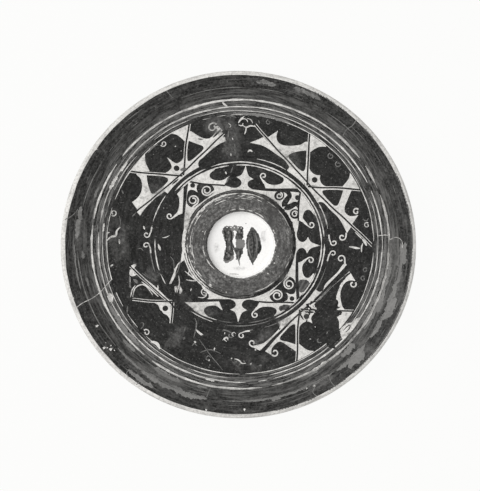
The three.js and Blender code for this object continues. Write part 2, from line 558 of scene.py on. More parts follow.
# The four sectors of the outer zone: angle, height of the crown's spike, and the two halves, left and
# right as one looks outwards. Each was drawn freely and wore differently.
SECTORS = (
    (
        41.4,
        79.6,
        sector_half(
            0.0, tail=19.4, foot=47.3, corner=(49.7, 1.4), side_end=61.0,
            wing=((25.9, 88.0), (26.6, 84.0), (30.5, 78.3), (35.5, 74.0), (39.5, 73.1), (43.0, 74.8),
                  (45.7, 78.4)),
            flare=((25.0, 1.5), (33.0, 2.7), (40.0, 4.3), (46.0, 6.6), (52.8, 11.4)),
        ),
        sector_half(
            3.2, tail=15.2, foot=44.4, corner=(45.0, 0.0), side_end=66.0,
            wing=((25.0, 88.5), (28.0, 82.5), (31.0, 77.3), (34.2, 75.0), (38.0, 75.2), (40.4, 77.8),
                  (41.9, 81.0)),
            wing_curl=((39.1, 81.4), 2.5, 95, 0.95),
            flare=((25.0, 2.2), (33.0, 2.5), (38.5, 3.8), (42.8, 5.2), (46.6, 6.8)),
        ),
    ),
    (
        129.2,
        85.0,
        sector_half(
            -0.8, tail=18.0, heart=-2.2, foot=41.8, corner=(43.4, 0.8), side_end=42.0,
            wing=((26.0, 90.0), (25.7, 86.0), (28.0, 81.0), (32.5, 76.9), (37.5, 75.2), (41.6, 75.1)),
            flare=((25.0, 1.3), (33.0, 1.8), (39.0, 3.0), (43.3, 4.5)),
        ),
        sector_half(
            4.2, tail=14.2, foot=45.0, corner=(44.9, 0.8), side_end=44.0,
            wing=((25.9, 90.0), (27.6, 85.0), (29.7, 80.5), (33.0, 77.2), (37.0, 76.6), (41.4, 78.2),
                  (44.4, 79.6)),
            wing_curl=((40.6, 81.7), 3.5, 0, 1.05),
            flare=((20.0, 2.2), (28.0, 2.3), (37.0, 3.9), (42.0, 5.8), (45.1, 6.6)),
        ),
    ),
    (
        221.5,
        77.4,
        sector_half(0.8, tail=0.0, triangle=False, black=False, side_end=0.0, slant_end=11.5),
        sector_half(3.7, tail=0.0, triangle=False, black=False, side_end=41.0, slant_end=21.5),
    ),
    (
        312.0,
        81.0,
        sector_half(
            1.2, tail=19.6, heart=-1.2, black=False, foot=47.2, corner=(48.8, 4.2), side_end=13.0,
            slant_end=30.0,
            wing=((25.0, 86.5), (28.0, 81.0), (32.0, 77.0), (38.0, 74.7), (42.4, 76.0), (45.2, 79.0)),
            wing_curl=((42.0, 79.3), 2.7, 10, 0.85),
            flare=((26.7, 3.9), (35.2, 4.7), (40.5, 5.0), (46.5, 6.4), (49.0, 6.0)),
        ),
        sector_half(
            4.1, tail=19.0, foot=40.8, corner=(43.0, 2.6), side_end=0.0,
            wing=((24.0, 88.2), (25.2, 83.0), (27.2, 76.0), (30.0, 74.7), (35.6, 75.2), (38.2, 77.2),
                  (39.2, 78.6)),
            wing_curl=((36.0, 78.9), 2.9, -5, 0.85),
            flare=((20.0, 2.7), (28.0, 2.9), (36.0, 4.1), (40.0, 6.0), (45.6, 9.4)),
        ),
    ),
)

# Where two sectors meet: angle, and for each side the paint of the curl that ends the ring line there,
# then the curl that ends the flare, as middle, radius, start and turns. None stands for a worn one.
RING_CURL = ((4.2, 69.9), 2.4, -85, -0.95)
MID_SIDES = (
    (87.0, (None, None), (None, None)),
    (177.2, (LINE_CLAY, None), (LINE_CLAY, None)),
    (268.1, (LINE_CLAY, ((12.0, 74.9), 2.5, 95, 0.85)), (FAINT, None)),
    (357.5, (CLAY, ((8.5, 75.7), 2.6, 100, 0.9)), (CLAY, ((8.3, 76.2), 2.9, 80, 0.95))),
)

# The inner square: the angles of its corners and of the scrolls in them, how far out the corners are,
# which is under the rings, and how far out the middles of its sides are, which bend inwards.
CORNER_ANGLES = (38.9, 128.3, 222.5, 312.8)
SCROLL_ANGLES = (40.0, 128.3, 222.5, 312.8)
CORNER_REACH = 62.6
SIDE_MIDDLE = 43.0

# The stars outside its sides: angle, and for each side where the black comma ends and where the curl
# that hooks into it stands. A curl of 0 is worn away, and a comma of 0 is lost under a dark stain.
STARS = (
    (85.7, (26.2, 0.0), (28.8, 13.4)), (175.5, (0.0, 0.0), (34.0, 17.2)),
    (269.0, (28.3, 12.6), (25.8, 0.0)), (359.1, (26.8, 16.0), (24.8, 11.3)),
)


def heart_of_sector(painting, sector):
    """The middle of a sector of the outer zone, between two slanting lines: a bare crown with a dot
    below, a bare triangle on each side above, and the black heart that they leave between them."""
    angle, spike, *halves = sector
    for brush, own in zip(brushes(painting, angle), halves):
        crown = [sharp(0, 69.0), sharp(11.4, 78.5), (8.6, 77.0), (5.2, 76.5), (1.9, 77.6), sharp(0, spike)]
        brush.shape(CLAY, crown)
        if own.triangle:
            shift = own.heart
            edge = [sharp(13.6 + shift, 99.6), sharp(13.2 + shift, 97.8), (16.6 + shift, 93.4)]
            tip = [sharp(18.0 + shift / 2, 85.6), sharp(28.4, 94.8), sharp(29.2, 96.2)]
            brush.shape(CLAY, edge + tip)
    Brush(painting, angle).dot(SLIP, (0, 74.3), 2.1)


def wings_of_sector(painting, sector):
    """The outer sides of a sector: a bare wing with a black triangle in it, above the square's side."""
    angle, _, *halves = sector
    for brush, own in zip(brushes(painting, angle), halves):
        if not own.wing:
            continue
        tilt = own.lean / LEAN_AT
        *edge, tip = own.wing
        foot = sharp(own.foot, SQUARE_SIDE + tilt * own.foot)
        brush.shape(CLAY, [sharp(1.5, SQUARE_SIDE), sharp(24.4, 90.3), *edge, sharp(*tip), foot])
        if own.black:
            triangle = [(26.2, 4.3), (25.4, 2.4), (22.0, 1.9), (14.0, 2.2), (10.4, 3.6)]
            low = [(across, SQUARE_SIDE + tilt * across + above) for across, above in triangle]
            brush.shape(SLIP, [sharp(20.4, 84.6), (23.6, 79.6), *low, (11.2, 75.2), (15.2, 79.6)])
        if own.wing_curl:
            brush.lay(CLAY, curl(*own.wing_curl, width=1.0))


def flares_of_sector(painting, sector):
    """Below the square's side: a bare fishtail in the middle, which runs out as a strip along the side
    and widens to a flare."""
    angle, _, *halves = sector
    for brush, own in zip(brushes(painting, angle), halves):
        if not own.flare:
            continue
        tilt = own.lean / LEAN_AT
        depths = ((own.tail + 3.0, 2.0), *own.flare, own.corner)
        *edge, tip, corner = [(across, SQUARE_SIDE + tilt * across - depth) for across, depth in depths]
        tail = [sharp(0, 64.6), sharp(own.tail - 0.6, 64.4 - own.tail / 16), (own.tail + 0.2, 66.2)]
        brush.shape(CLAY, [*tail, *edge, sharp(*tip), sharp(*corner), sharp(0, SQUARE_SIDE)])


def smear(painting):
    """The dark smear that runs over the lines and the crown of the sector on the lower right."""
    brush = Brush(painting, 312.0)
    edge = [(-8.6, 72.6), (-7.4, 78.6), (-10.0, 84.0), (-16.0, 89.4), (-21.4, 89.6), (-20.4, 86.0),
            (-21.4, 82.6), (-19.0, 79.4), (-22.0, 75.0), (-20.0, 71.6), (-13.0, 71.4)]
    brush.torn(SLIP, edge, depth=0.5, seed=18)
    brush.lay(SLIP, stroke([(-9.0, 70.3), (-26.0, 70.7), (-40.0, 71.1)], [0.6, 1.2, 1.0]))


def lines_of_sector(painting, sector):
    """The ruled lines of a sector: the square's side in two halves, and the two slanting lines."""
    angle, _, *halves = sector
    margins = []
    rules = []
    for brush, own in zip(brushes(painting, angle), halves):
        for start, slope, seen, end in (
            ((-1.0, SQUARE_SIDE), own.lean / LEAN_AT, own.side_end, 70.0),
            ((0.4, 67.0), 0.98, own.slant_end, 31.0),
        ):
            if seen:
                margins.append((brush, start, (seen, start[1] + slope * seen)))
            rules.append((brush, start, (end, start[1] + slope * end)))
    for brush, start, end in margins:
        brush.margin(start, end)
    for brush, start, end in rules:
        brush.rule(start, end)


def curls_at_mid_side(painting, mid_side):
    """Where two sectors meet: the curls that end the ring line, and those that end the flares."""
    angle, *sides = mid_side
    for brush, (ring_paint, flare_curl) in zip(brushes(painting, angle), sides):
        brush.lay(SLIP, [(-0.3, 65.6), (4.6, 65.6), (4.2, 67.4), (-0.3, 67.4)])
        if ring_paint:
            brush.lay(ring_paint, curl(*RING_CURL, width=0.9, lead=[(10.0, 65.9), (6.4, 66.6)]))
        if flare_curl:
            across, out = flare_curl[0]
            brush.lay(CLAY, curl(*flare_curl, width=1.0, lead=[(across + 3.4, out + 3.1)]))


def inner_square(painting):
    """The inner square: bare clay inside ruled sides, with scrolls in its corners."""
    corners = [Brush(painting, angle).places([(0, CORNER_REACH)])[0] for angle in CORNER_ANGLES]
    middles = [Brush(painting, star[0]).places([(0.6, SIDE_MIDDLE)])[0] for star in STARS]
    outline = []
    for corner, middle in zip(corners, middles):
        outline += [sharp(*corner), tuple(middle)]
    painting.lay(CLAY, hand_drawn(drawn(outline, step=1.5)))
    for angle, scrolls in zip(SCROLL_ANGLES, (banded_scrolls, coiled_scrolls, worn_scrolls, coiled_scrolls)):
        scrolls(painting, angle)
    for i, middle in enumerate(middles):
        path = [tuple(corners[i]), tuple(middle), tuple(corners[(i + 1) % 4])]
        painting.lay(SLIP, hand_drawn(stroke(path, [LINE_WIDTH, LINE_WIDTH], step=1.5)))


def wedges_and_star(painting, star):
    """Outside a side of the inner square: a four-pointed bare star between two black lobes, and beyond
    each lobe a bare wedge that holds a black comma, with a curl at the wedge's tip."""
    angle, *sides = star
    for brush, (comma, hook) in zip(brushes(painting, angle), sides):
        at = hook or 12.4
        round_side = [sharp(0.6, 50.0), (2.6, 45.2), (4.6, 43.0), (8.4, 42.2), (12.0, 42.9)]
        brush.shape(SLIP, [*round_side, sharp(at + 3.0, 43.9), (at + 3.4, 46.0), sharp(at - 1.0, 52.0)])
        if comma:
            hollow = [sharp(at + 2.7, 43.4), sharp(at - 0.6, 50.6), (at + 0.7, 49.9), (at + 3.1, 47.9)]
            swell = [((at + comma) / 2 - 1.0, 47.0), (comma - 3.5, 47.5), (comma - 0.3, 49.4), (comma, 52.0)]
            tip = [sharp(comma - 3.5, 55.6), sharp(comma - 2.6, 57.5), sharp(43.0, 47.0), sharp(43.0, 43.9)]
            brush.shape(CLAY, hollow + swell + tip)
            brush.rule((at + 2.0, 43.4), (44.0, 44.6))
        if hook:
            lead = [(at + 1.0, 47.6), (at - 1.0, 50.6)]
            brush.lay(CLAY, curl((hook, 53.4), 2.4, 215, -0.95, width=0.95, lead=lead))
    if sides[0][0]:
        upper = [sharp(0, 59.9), (1.1, 56.0), (2.8, 52.5), sharp(6.4, 50.4)]
        lower = [(3.6, 48.9), (2.3, 46.8), (3.4, 44.0), sharp(7.0, 42.0), sharp(0, 41.0)]
        for brush in brushes(painting, angle):
            brush.shape(CLAY, upper + lower)


def coiled_scrolls(painting, angle):
    """A corner of the inner square with a black two-lobed form and a bare coil in each lobe."""
    lobe = [sharp(0, 50.6), (1.3, 53.8), (4.2, 55.4), (8.0, 53.0), (11.4, 48.6), (11.2, 45.0),
            sharp(9.2, 42.6), sharp(0, 42.4)]
    for brush in brushes(painting, angle):
        brush.shape(SLIP, lobe)
    for brush in brushes(painting, angle):
        brush.lay(CLAY, curl((6.2, 47.6), 4.2, -70, -1.5, width=1.0, lead=[(10.4, 43.4)]))
    Brush(painting, angle).dot(SLIP, (0.2, 57.0), 1.8)


def banded_scrolls(painting, angle):
    """The corner where the scrolls are a black band that waves up and down and winds up at both ends."""
    wave = [(0, 44.4), (1.8, 45.4), (2.9, 48.6), (3.8, 52.0), (6.6, 52.6), (10.0, 51.0), (12.6, 47.6)]
    for brush in brushes(painting, angle):
        brush.dot(SLIP, (9.2, 46.3), 3.9)
        brush.lay(SLIP, stroke(wave, [4.6, 4.2, 3.3, 2.4, 1.7]))
    for brush in brushes(painting, angle):
        brush.lay(CLAY, curl((9.2, 46.2), 2.6, 60, 1.2, width=0.9))
    brush = Brush(painting, angle)
    brush.dot(SLIP, (0.9, 55.9), 1.9)
    brush.dot(SLIP, (4.3, 55.1), 1.6)


def worn_scrolls(painting, angle):
    """The corner where the scrolls are stained over, with scraps of their coils left."""
    brush = Brush(painting, angle)
    edge = [(-13.6, 44.0), (-9.4, 42.6), (0.6, 43.0), (1.6, 44.4), (6.4, 42.8), (17.6, 43.0), (19.0, 45.4),
            (13.0, 54.0), (8.6, 60.6), (-2.0, 61.0), (-5.4, 58.2), (-10.6, 51.4), (-14.8, 48.0)]
    brush.torn(SLIP, edge, depth=0.5, seed=31)
    west_edge = [(-36.0, 51.0), (-33.0, 49.4), (-25.4, 46.7), (-18.4, 43.8), (-15.4, 41.6), (-12.0, 36.0),
                 (-26.0, 26.0), (-44.0, 34.0)]
    Brush(painting, 177.2).torn(SLIP, west_edge, depth=0.3, seed=32)
    for points, width in (
        (((-8.4, 50.2), (-11.6, 47.2), (-11.2, 43.8), (-8.2, 44.6)), 0.8),
        (((-1.6, 51.4), (-0.6, 49.4)), 0.8),
        (((2.0, 58.8), (3.4, 56.6), (6.4, 55.2)), 2.0),
        (((5.6, 59.0), (8.0, 56.0)), 0.7),
        (((12.2, 58.4), (15.2, 51.6), (17.8, 48.4), (19.2, 44.0)), 1.1),
        (((15.8, 50.4), (18.8, 48.4)), 0.6),
    ):
        brush.trace(LINE_CLAY, points, width)


# Scraps of the drawing that are left where the rest is worn or stained, and marks that came later:
# the frame's angle, then for each scrap its paint, its width and the points of its stroke.
SCRAPS = (
    (
        90,
        (CLAY, 0.9, ((-40.4, -20.6), (-35.6, -24.6), (-31.9, -28.1))),
        (LINE_CLAY, 0.8, ((-31.9, -28.1), (-36.0, -28.0), (-39.8, -27.4))),
        (LINE_CLAY, 0.8, ((-45.3, -24.2), (-45.0, -30.0), (-46.8, -37.6))),
        (LINE_CLAY, 0.8, ((-22.4, -36.4), (-25.2, -33.4), (-28.4, -35.4), (-27.0, -38.6), (-24.4, -37.8))),
        (LINE_CLAY, 0.7, ((-38.0, -24.2), (-36.8, -20.4), (-33.6, -20.8), (-33.8, -23.4))),
        (LINE_CLAY, 0.9, ((-80.0, -40.4), (-77.2, -33.0), (-71.4, -31.0), (-65.0, -38.4))),
        (LINE_CLAY, 0.8, ((-8.6, 92.0), (-6.8, 90.2), (-7.6, 88.4))),
        (LINE_CLAY, 0.8, ((-5.6, 80.6), (-4.8, 78.8))),
        (FAINT, 1.2, ((-3.6, 76.0), (-3.0, 68.4))),
        (LINE_CLAY, 0.8, ((-0.4, 93.4), (2.2, 95.3), (4.6, 94.8), (5.8, 92.6))),
        (LINE_CLAY, 0.7, ((5.0, 95.8), (8.0, 94.6), (9.4, 92.0))),
        (LINE_CLAY, 0.8, ((-1.0, 90.6), (1.6, 90.0), (2.4, 92.0))),
        (FAINT, 1.0, ((-8.4, 86.0), (-8.8, 79.0))),
        (FAINT, 0.9, ((-10.6, 96.6), (-6.0, 97.4), (-2.6, 96.0))),
        (FAINT, 0.7, ((-29.7, -82.5), (-25.0, -80.6), (-20.7, -80.3), (-14.1, -83.4))),
        (FAINT, 0.7, ((-21.6, -86.2), (-23.6, -84.8), (-25.4, -86.8), (-23.6, -88.6))),
        (FAINT, 0.7, ((-35.6, -77.6), (-33.8, -75.8), (-32.0, -77.6))),
        (CLAY, 1.2, ((-18.8, -79.3), (-18.2, -78.9))),
        (LINE_CLAY, 0.8, ((-8.0, -72.0), (-9.6, -71.0), (-11.2, -72.8), (-9.6, -74.4))),
        (LINE_CLAY, 0.7, ((-2.4, -68.6), (-3.8, -67.4), (-5.4, -69.0), (-4.0, -70.6))),
        (FAINT, 0.8, ((-12.6, -66.6), (-10.8, -65.6))),
        (FAINT, 1.2, ((-23.0, -92.0), (-22.0, -91.8))),
        (FAINT, 0.8, ((-41.2, -66.8), (-40.2, -63.6))),
        (FAINT, 1.4, ((-4.6, -91.6), (-2.2, -89.0))),
        (FAINT, 1.2, ((-1.0, -92.4), (0.8, -90.6))),
        (FAINT, 1.0, ((2.4, -88.6), (3.6, -90.0))),
        (LINE_CLAY, 0.9, ((-6.8, -87.6), (-5.8, -87.2))),
        (FAINT, 0.8, ((10.2, -76.6), (12.2, -75.4), (13.4, -77.0))),
    ),
    (
        41.4,
        (FAINT, 0.8, ((10.6, 94.9), (11.4, 95.3))),
        (FAINT, 0.7, ((32.4, 87.6), (33.0, 88.4))),
        (FAINT, 0.8, ((-44.6, 85.8), (-43.4, 86.6))),
        (SLIP, 0.5, ((-3.4, 66.8), (-1.2, 65.6))),
    ),
    (
        87.0,
        (CLAY, 1.2, ((-2.0, 97.4), (-4.4, 94.8), (-5.8, 91.8))),
        (CLAY, 1.1, ((-2.6, 90.2), (0.0, 88.9), (3.0, 90.3), (6.8, 90.2))),
        (CLAY, 0.9, ((0.1, 89.2), (0.1, 86.4), (-0.5, 83.6))),
        (LINE_CLAY, 1.4, ((2.6, 70.4), (4.4, 71.8), (6.2, 70.8))),
        (FAINT, 1.2, ((-9.8, 68.8), (-9.0, 66.6))),
        (FAINT, 0.9, ((8.8, 94.8), (9.9, 92.8))),
        (FAINT, 0.8, ((-16.0, 97.0), (-11.0, 97.8))),
        (LINE_CLAY, 1.1, ((-13.8, 54.4), (-13.0, 52.4))),
        (FAINT, 1.2, ((-11.2, 50.4), (-12.6, 45.6))),
        (FAINT, 0.9, ((-8.2, 57.8), (-9.8, 53.4))),
        (LINE_CLAY, 2.4, ((-22.4, 88.6), (-20.4, 87.4))),
    ),
    (
        129.2,
        (CLAY, 1.3, ((9.7, 87.3), (10.2, 87.8))),
        (CLAY, 0.9, ((10.8, 82.2), (11.2, 82.0))),
        (FAINT, 1.0, ((12.2, 93.4), (12.8, 93.0))),
        (FAINT, 1.4, ((-8.4, 97.0), (-3.0, 98.0), (1.0, 97.2))),
        (FAINT, 0.9, ((-6.4, 93.6), (-5.6, 93.4))),
        (FAINT, 0.9, ((-43.0, 84.0), (-42.0, 87.4))),
        (SLIP, 0.9, ((26.6, 81.9), (29.2, 79.4))),
        (SLIP, 1.5, ((36.4, 75.5), (40.6, 76.0), (44.2, 76.6))),
        (SLIP, 1.3, ((-10.8, 67.1), (-4.4, 67.0))),
        (FAINT, 2.2, ((1.2, 71.6), (5.4, 69.9))),
        (LINE_CLAY, 1.0, ((37.6, 55.6), (38.6, 57.4))),
        (FAINT, 0.9, ((-26.6, 56.2), (-26.0, 57.2))),
    ),
    (
        177.2,
        (CLAY, 1.5, ((-2.6, 99.4), (0.6, 96.4), (1.6, 92.8), (5.4, 91.9), (8.4, 89.3))),
        (LINE_CLAY, 1.0, ((3.6, 99.8), (4.3, 97.4))),
        (FAINT, 0.6, ((8.4, 89.4), (12.6, 89.3), (17.0, 90.3))),
        (LINE_CLAY, 1.2, ((-4.8, 89.7), (-1.2, 90.0))),
        (LINE_CLAY, 1.2, ((-21.6, 95.0), (-20.3, 92.8))),
        (LINE_CLAY, 1.3, ((8.0, 71.3), (10.4, 72.2))),
        (FAINT, 0.7, ((-8.6, 71.4), (-6.8, 73.2), (-7.0, 75.8))),
        (FAINT, 0.9, ((17.2, 80.8), (19.8, 78.2))),
        (CLAY, 2.2, ((-21.6, 79.2), (-19.4, 76.2))),
        (CLAY, 3.0, ((-27.0, 77.4), (-23.6, 80.0))),
        (LINE_CLAY, 0.9, ((-37.0, 79.8), (-29.0, 80.0))),
        (FAINT, 1.3, ((-33.6, 74.6), (-30.4, 77.4))),
        (FAINT, 0.7, ((-25.2, 71.4), (-29.6, 64.8))),
        (LINE_CLAY, 0.7, ((1.8, 57.8), (2.2, 55.4), (3.6, 52.8))),
        (CLAY, 1.2, ((-7.4, 58.9), (-3.0, 60.8))),
        (CLAY, 1.1, ((-33.0, 50.6), (-25.4, 47.6), (-18.4, 44.9), (-15.4, 42.6))),
        (FAINT, 0.6, ((-24.0, 47.7), (-16.0, 48.2), (-12.2, 50.8))),
        (LINE_CLAY, 1.2, ((-39.6, 45.8), (-34.6, 46.4))),
    ),
    (
        221.5,
        (CLAY, 2.3, ((-20.4, 97.4), (-15.6, 96.5), (-11.6, 98.2))),
        (FAINT, 0.8, ((0.2, 97.8), (0.8, 94.8), (2.6, 93.5), (3.8, 94.8))),
        (FAINT, 1.0, ((16.2, 97.6), (19.8, 94.2))),
        (FAINT, 0.9, ((-10.8, 93.4), (-10.0, 93.2))),
        (CLAY, 1.2, ((10.6, 72.0), (18.0, 72.4), (27.0, 73.5))),
        (CLAY, 1.3, ((2.4, 68.5), (14.0, 68.9), (27.0, 70.3))),
        (LINE_CLAY, 1.0, ((14.6, 68.6), (17.0, 66.2))),
        (FAINT, 0.8, ((20.0, 65.0), (25.0, 66.2), (30.6, 67.2))),
        (CLAY, 1.8, ((33.6, 72.4), (35.8, 75.8), (38.4, 74.4))),
        (CLAY, 1.6, ((38.2, 71.4), (40.2, 69.6))),
        (LINE_CLAY, 0.9, ((23.6, 88.0), (26.8, 83.0), (27.8, 79.0))),
        (FAINT, 1.0, ((28.6, 82.6), (32.0, 80.6), (36.0, 77.0))),
        (FAINT, 1.8, ((28.0, 76.4), (31.6, 76.0))),
        (CLAY, 1.4, ((-33.4, 66.9), (-27.4, 66.9))),
        (LINE_CLAY, 1.3, ((-34.2, 74.2), (-33.0, 74.0))),
        (FAINT, 0.8, ((-30.8, 72.9), (-28.4, 69.0), (-24.4, 63.8), (-20.4, 62.2))),
        (FAINT, 1.6, ((-26.8, 79.6), (-26.2, 77.6))),
        (CLAY, 1.8, ((35.8, 47.4), (39.6, 46.0))),
    ),
    (
        268.1,
        (CLAY, 1.0, ((-7.4, 90.5), (-4.4, 90.8), (-2.4, 89.0), (-0.6, 88.1), (1.2, 87.9))),
        (FAINT, 0.7, ((0.6, 91.6), (2.8, 90.0))),
        (FAINT, 0.7, ((-2.4, 93.8), (-0.2, 92.4))),
        (FAINT, 1.3, ((-19.4, 91.5), (-17.4, 92.1))),
        (LINE_CLAY, 1.1, ((-11.5, 90.2), (-10.7, 91.6))),
        (LINE_CLAY, 1.2, ((-15.0, 79.9), (-13.8, 79.8))),
        (CLAY, 1.6, ((19.8, 88.9), (20.6, 88.8))),
        (FAINT, 1.0, ((19.6, 94.5), (20.4, 94.2))),
        (FAINT, 1.4, ((24.8, 91.3), (25.5, 91.3))),
        (CLAY, 1.7, ((15.8, 80.5), (16.5, 80.6))),
        (CLAY, 0.8, ((10.2, 73.7), (8.6, 71.9), (6.6, 72.2), (6.2, 73.6))),
        (LINE_CLAY, 1.6, ((8.3, 68.5), (9.0, 68.4))),
        (CLAY, 1.6, ((24.6, 69.8), (27.2, 68.4), (29.8, 66.0))),
        (FAINT, 0.9, ((29.8, 66.2), (29.9, 60.4))),
        (CLAY, 1.3, ((30.0, 76.0), (31.4, 75.2))),
        (FAINT, 0.6, ((9.6, 96.4), (18.4, 86.0), (27.6, 73.4))),
    ),
    (
        312.0,
        (FAINT, 0.9, ((4.8, 96.4), (6.4, 94.8), (5.6, 93.0), (4.2, 92.6))),
        (FAINT, 0.9, ((-4.6, 93.4), (-2.4, 94.6))),
        (CLAY, 1.3, ((8.7, 88.7), (9.1, 89.1))),
        (LINE_CLAY, 1.2, ((-0.2, 84.4), (0.3, 84.4))),
        (CLAY, 1.5, ((-12.4, 70.4), (-8.2, 70.9), (-9.4, 74.8))),
        (FAINT, 0.9, ((-29.6, 70.2), (-20.0, 70.4), (-12.0, 70.6))),
        (SLIP, 1.6, ((-6.6, 75.6), (-4.6, 73.6), (-5.0, 71.8))),
        (SLIP, 1.0, ((-2.6, 72.4), (-1.6, 70.8))),
        (FAINT, 0.8, ((25.2, 86.4), (25.8, 85.2))),
    ),
    (
        357.5,
        (LINE_CLAY, 0.9, ((-12.8, 85.4), (-7.6, 90.8))),
        (CLAY, 1.8, ((-7.8, 91.0), (-5.2, 93.2), (-3.2, 94.4))),
        (CLAY, 1.1, ((-4.6, 91.6), (-1.6, 90.7), (2.1, 90.9))),
        (CLAY, 1.5, ((-0.6, 89.6), (-0.6, 87.0), (-0.9, 84.0), (-1.1, 81.2))),
        (FAINT, 0.9, ((-24.2, 95.2), (-22.0, 93.4), (-23.4, 90.8))),
        (SLIP, 1.1, ((-4.6, 92.4), (-4.0, 92.4))),
        (FAINT, 0.8, ((28.6, 69.6), (34.0, 64.6), (38.6, 60.0))),
    ),
)


# Small curls high in the sectors: the frame's angle, paint, middle, radius, start and turns.
SMALL_CURLS = (
    (41.4, FAINT, (-5.0, 95.4), 2.4, 150, 1.05), (41.4, FAINT, (3.2, 95.3), 2.3, 160, 1.05),
    (87.0, FAINT, (16.5, 94.1), 1.9, 100, 1.0), (129.2, LINE_CLAY, (4.6, 95.0), 2.2, 170, 1.05),
    (177.2, LINE_CLAY, (18.8, 94.6), 2.4, 150, 1.05), (221.5, CLAY, (-4.4, 96.2), 2.4, 10, -0.95),
    (357.5, LINE_CLAY, (-18.6, 93.9), 2.2, 150, 1.0), (357.5, FAINT, (15.8, 94.4), 1.9, 130, 1.0),
    (357.5, FAINT, (22.2, 93.2), 1.9, 150, 1.0),
)


# Dark stains where soil covers the outer zone's drawing: the frame's angle, the depth and the seed of
# the torn edge, and the points round it.
STAINS = (
    (90, 0.9, 17, ((-15.6, 97.6), (-11.0, 93.0), (-13.4, 84.0), (-8.0, 76.0), (-8.6, 69.0), (-4.2, 66.4),
                   (-0.6, 70.0), (-1.6, 80.0), (1.6, 88.0), (0.4, 97.6))),
    (221.5, 0.5, 11, ((-24, 58.6), (-12, 60.4), (0, 60.0), (9, 58.8), (13, 59.6), (14, 66.0), (8, 68.0),
                      (1, 68.5), (-8, 70.0), (-20, 68.0), (-28, 63.0))),
    (312, 0.35, 12, ((-10.6, 74.0), (-9.4, 71.4), (-20, 71.0), (-32, 70.8), (-44, 70.8), (-47.4, 71.6),
                     (-42, 72.4), (-34, 73.8), (-28.4, 76.8), (-25.4, 79.0), (-25.2, 81.6), (-22.6, 84.0),
                     (-23.2, 86.4), (-18.0, 83.0))),
    (312, 0.25, 13, ((-26, 68.6), (-36, 69.0), (-50, 69.6), (-49.4, 65.8), (-44, 66.8), (-38, 67.2),
                     (-30, 67.4))),
)


def thinned_lobes(painting):
    """By the lower right corner of the inner square: black lobes that were laid thinly, and broken slip."""
    upright = Brush(painting, 90)
    for seed, paint, depth, edge in (
        (14, WALL_SLIP, 0.25, ((44.4, -28.0), (47.6, -27.1), (51.6, -28.4), (52.0, -31.0), (49.0, -35.6),
                               (45.2, -37.2), (44.3, -33.0))),
        (15, WALL_SLIP, 0.25, ((29.0, -49.6), (30.6, -47.4), (34.6, -46.5), (37.4, -47.6), (34.0, -50.0),
                               (31.0, -51.2))),
        (16, SLIP, 0.7, ((49.6, -45.6), (53.0, -43.8), (57.2, -43.6), (57.8, -50.6), (53.6, -49.8),
                         (50.4, -49.8))),
    ):
        upright.torn(paint, edge, depth, seed)
    for points, width in (
        (((51.6, -46.0), (53.2, -47.4)), 1.3),
        (((54.4, -45.2), (55.6, -47.4), (54.4, -48.6)), 1.0),
        (((50.8, -48.6), (52.0, -49.4)), 1.0),
        (((56.4, -48.0), (57.0, -49.8)), 0.9),
    ):
        upright.trace(LINE_CLAY, points, width)
    for points, width in (
        (((49.8, -51.4), (52.0, -52.6), (51.2, -54.6)), 1.5),
        (((55.6, -52.2), (57.4, -54.0)), 1.7),
        (((50.4, -57.4), (49.6, -59.4)), 1.0),
        (((44.6, -52.4), (46.2, -55.6), (47.6, -57.8)), 1.2),
    ):
        upright.trace(SLIP, points, width)


# Patches where the slip flaked off the rim and left a grey skin, and two where it is only rubbed: from
# one angle to another, and from one radius to another.
LOSSES = (
    (324, 360.5, 118.6, 122.0), (333, 341, 121.2, 125.0), (353, 361, 121.4, 125.0),
    (325, 357, 111.9, 114.2), (333, 339, 113.3, 116.2), (307, 321, 118.7, 121.5),
    (311, 319, 120.5, 126.0), (311.5, 318.5, 112.0, 116.3), (297, 301, 111.8, 113.6),
    (270, 307, 118.6, 120.1), (281.5, 285, 119.8, 121.6), (233, 258.5, 118.2, 121.8),
    (221, 236, 118.8, 120.2), (236, 247, 111.9, 115.4), (253.5, 257.5, 111.7, 113.3),
    (220, 226.5, 111.8, 113.9), (229, 240, 124.2, 126.8), (192.5, 196, 115.8, 117.4),
    (182.5, 185.5, 115.8, 117.4), (180, 196, 121.5, 122.4), (166, 178, 119.0, 122.0),
    (157.5, 162, 112.6, 114.2),
)
RUBBED = ((77, 84, 122.8, 126.0), (61, 71, 124.2, 127.6))

# Where the ridges' lines widen to pale scraps: given as the losses are.
BRIGHT_SCRAPS = (
    (150, 157, 103.9, 105.9), (143, 148, 103.6, 105.2), (256, 260, 105.0, 106.4),
    (171, 175, 101.4, 102.6), (299, 306, 109.4, 111.6), (324, 343, 110.4, 111.6),
    (341, 358, 110.5, 111.7), (334, 348, 105.9, 106.9),
)

# Cracks, most of which run in from the lip: the paint of their filling, and points of an angle and a
# radius.
CRACKS = (
    (SKIN, (47.4, 129.4), (47.0, 124.0), (47.6, 118.0), (47.0, 113.0)),
    (SKIN, (114.6, 129.0), (114.2, 125.5), (113.8, 122.0)),
    (LINE_CLAY, (201.9, 131.0), (200.9, 124.0), (200.6, 117.0), (199.6, 110.5), (198.2, 106.0),
     (195.8, 99.2)),
    (SKIN, (234.4, 130.4), (235.1, 124.0)),
    (SKIN, (231.0, 129.6), (229.4, 127.0), (230.4, 123.8)),
    (SKIN, (258.2, 118.6), (258.7, 112.0)),
    (SKIN, (303.7, 129.4), (303.4, 124.5), (303.9, 119.2)),
    (SKIN, (297.0, 129.0), (296.2, 125.0), (297.7, 121.5), (298.3, 119.6)),
    (SKIN, (171.6, 130.4), (169.8, 125.5), (167.2, 122.4)),
    (LINE_CLAY, (3.6, 103.4), (3.4, 110.6), (1.9, 111.8), (2.6, 116.5), (1.4, 120.8), (-1.2, 121.3)),
    (SKIN, (196.6, 46.0), (203.4, 50.0), (208.0, 55.0)),
)
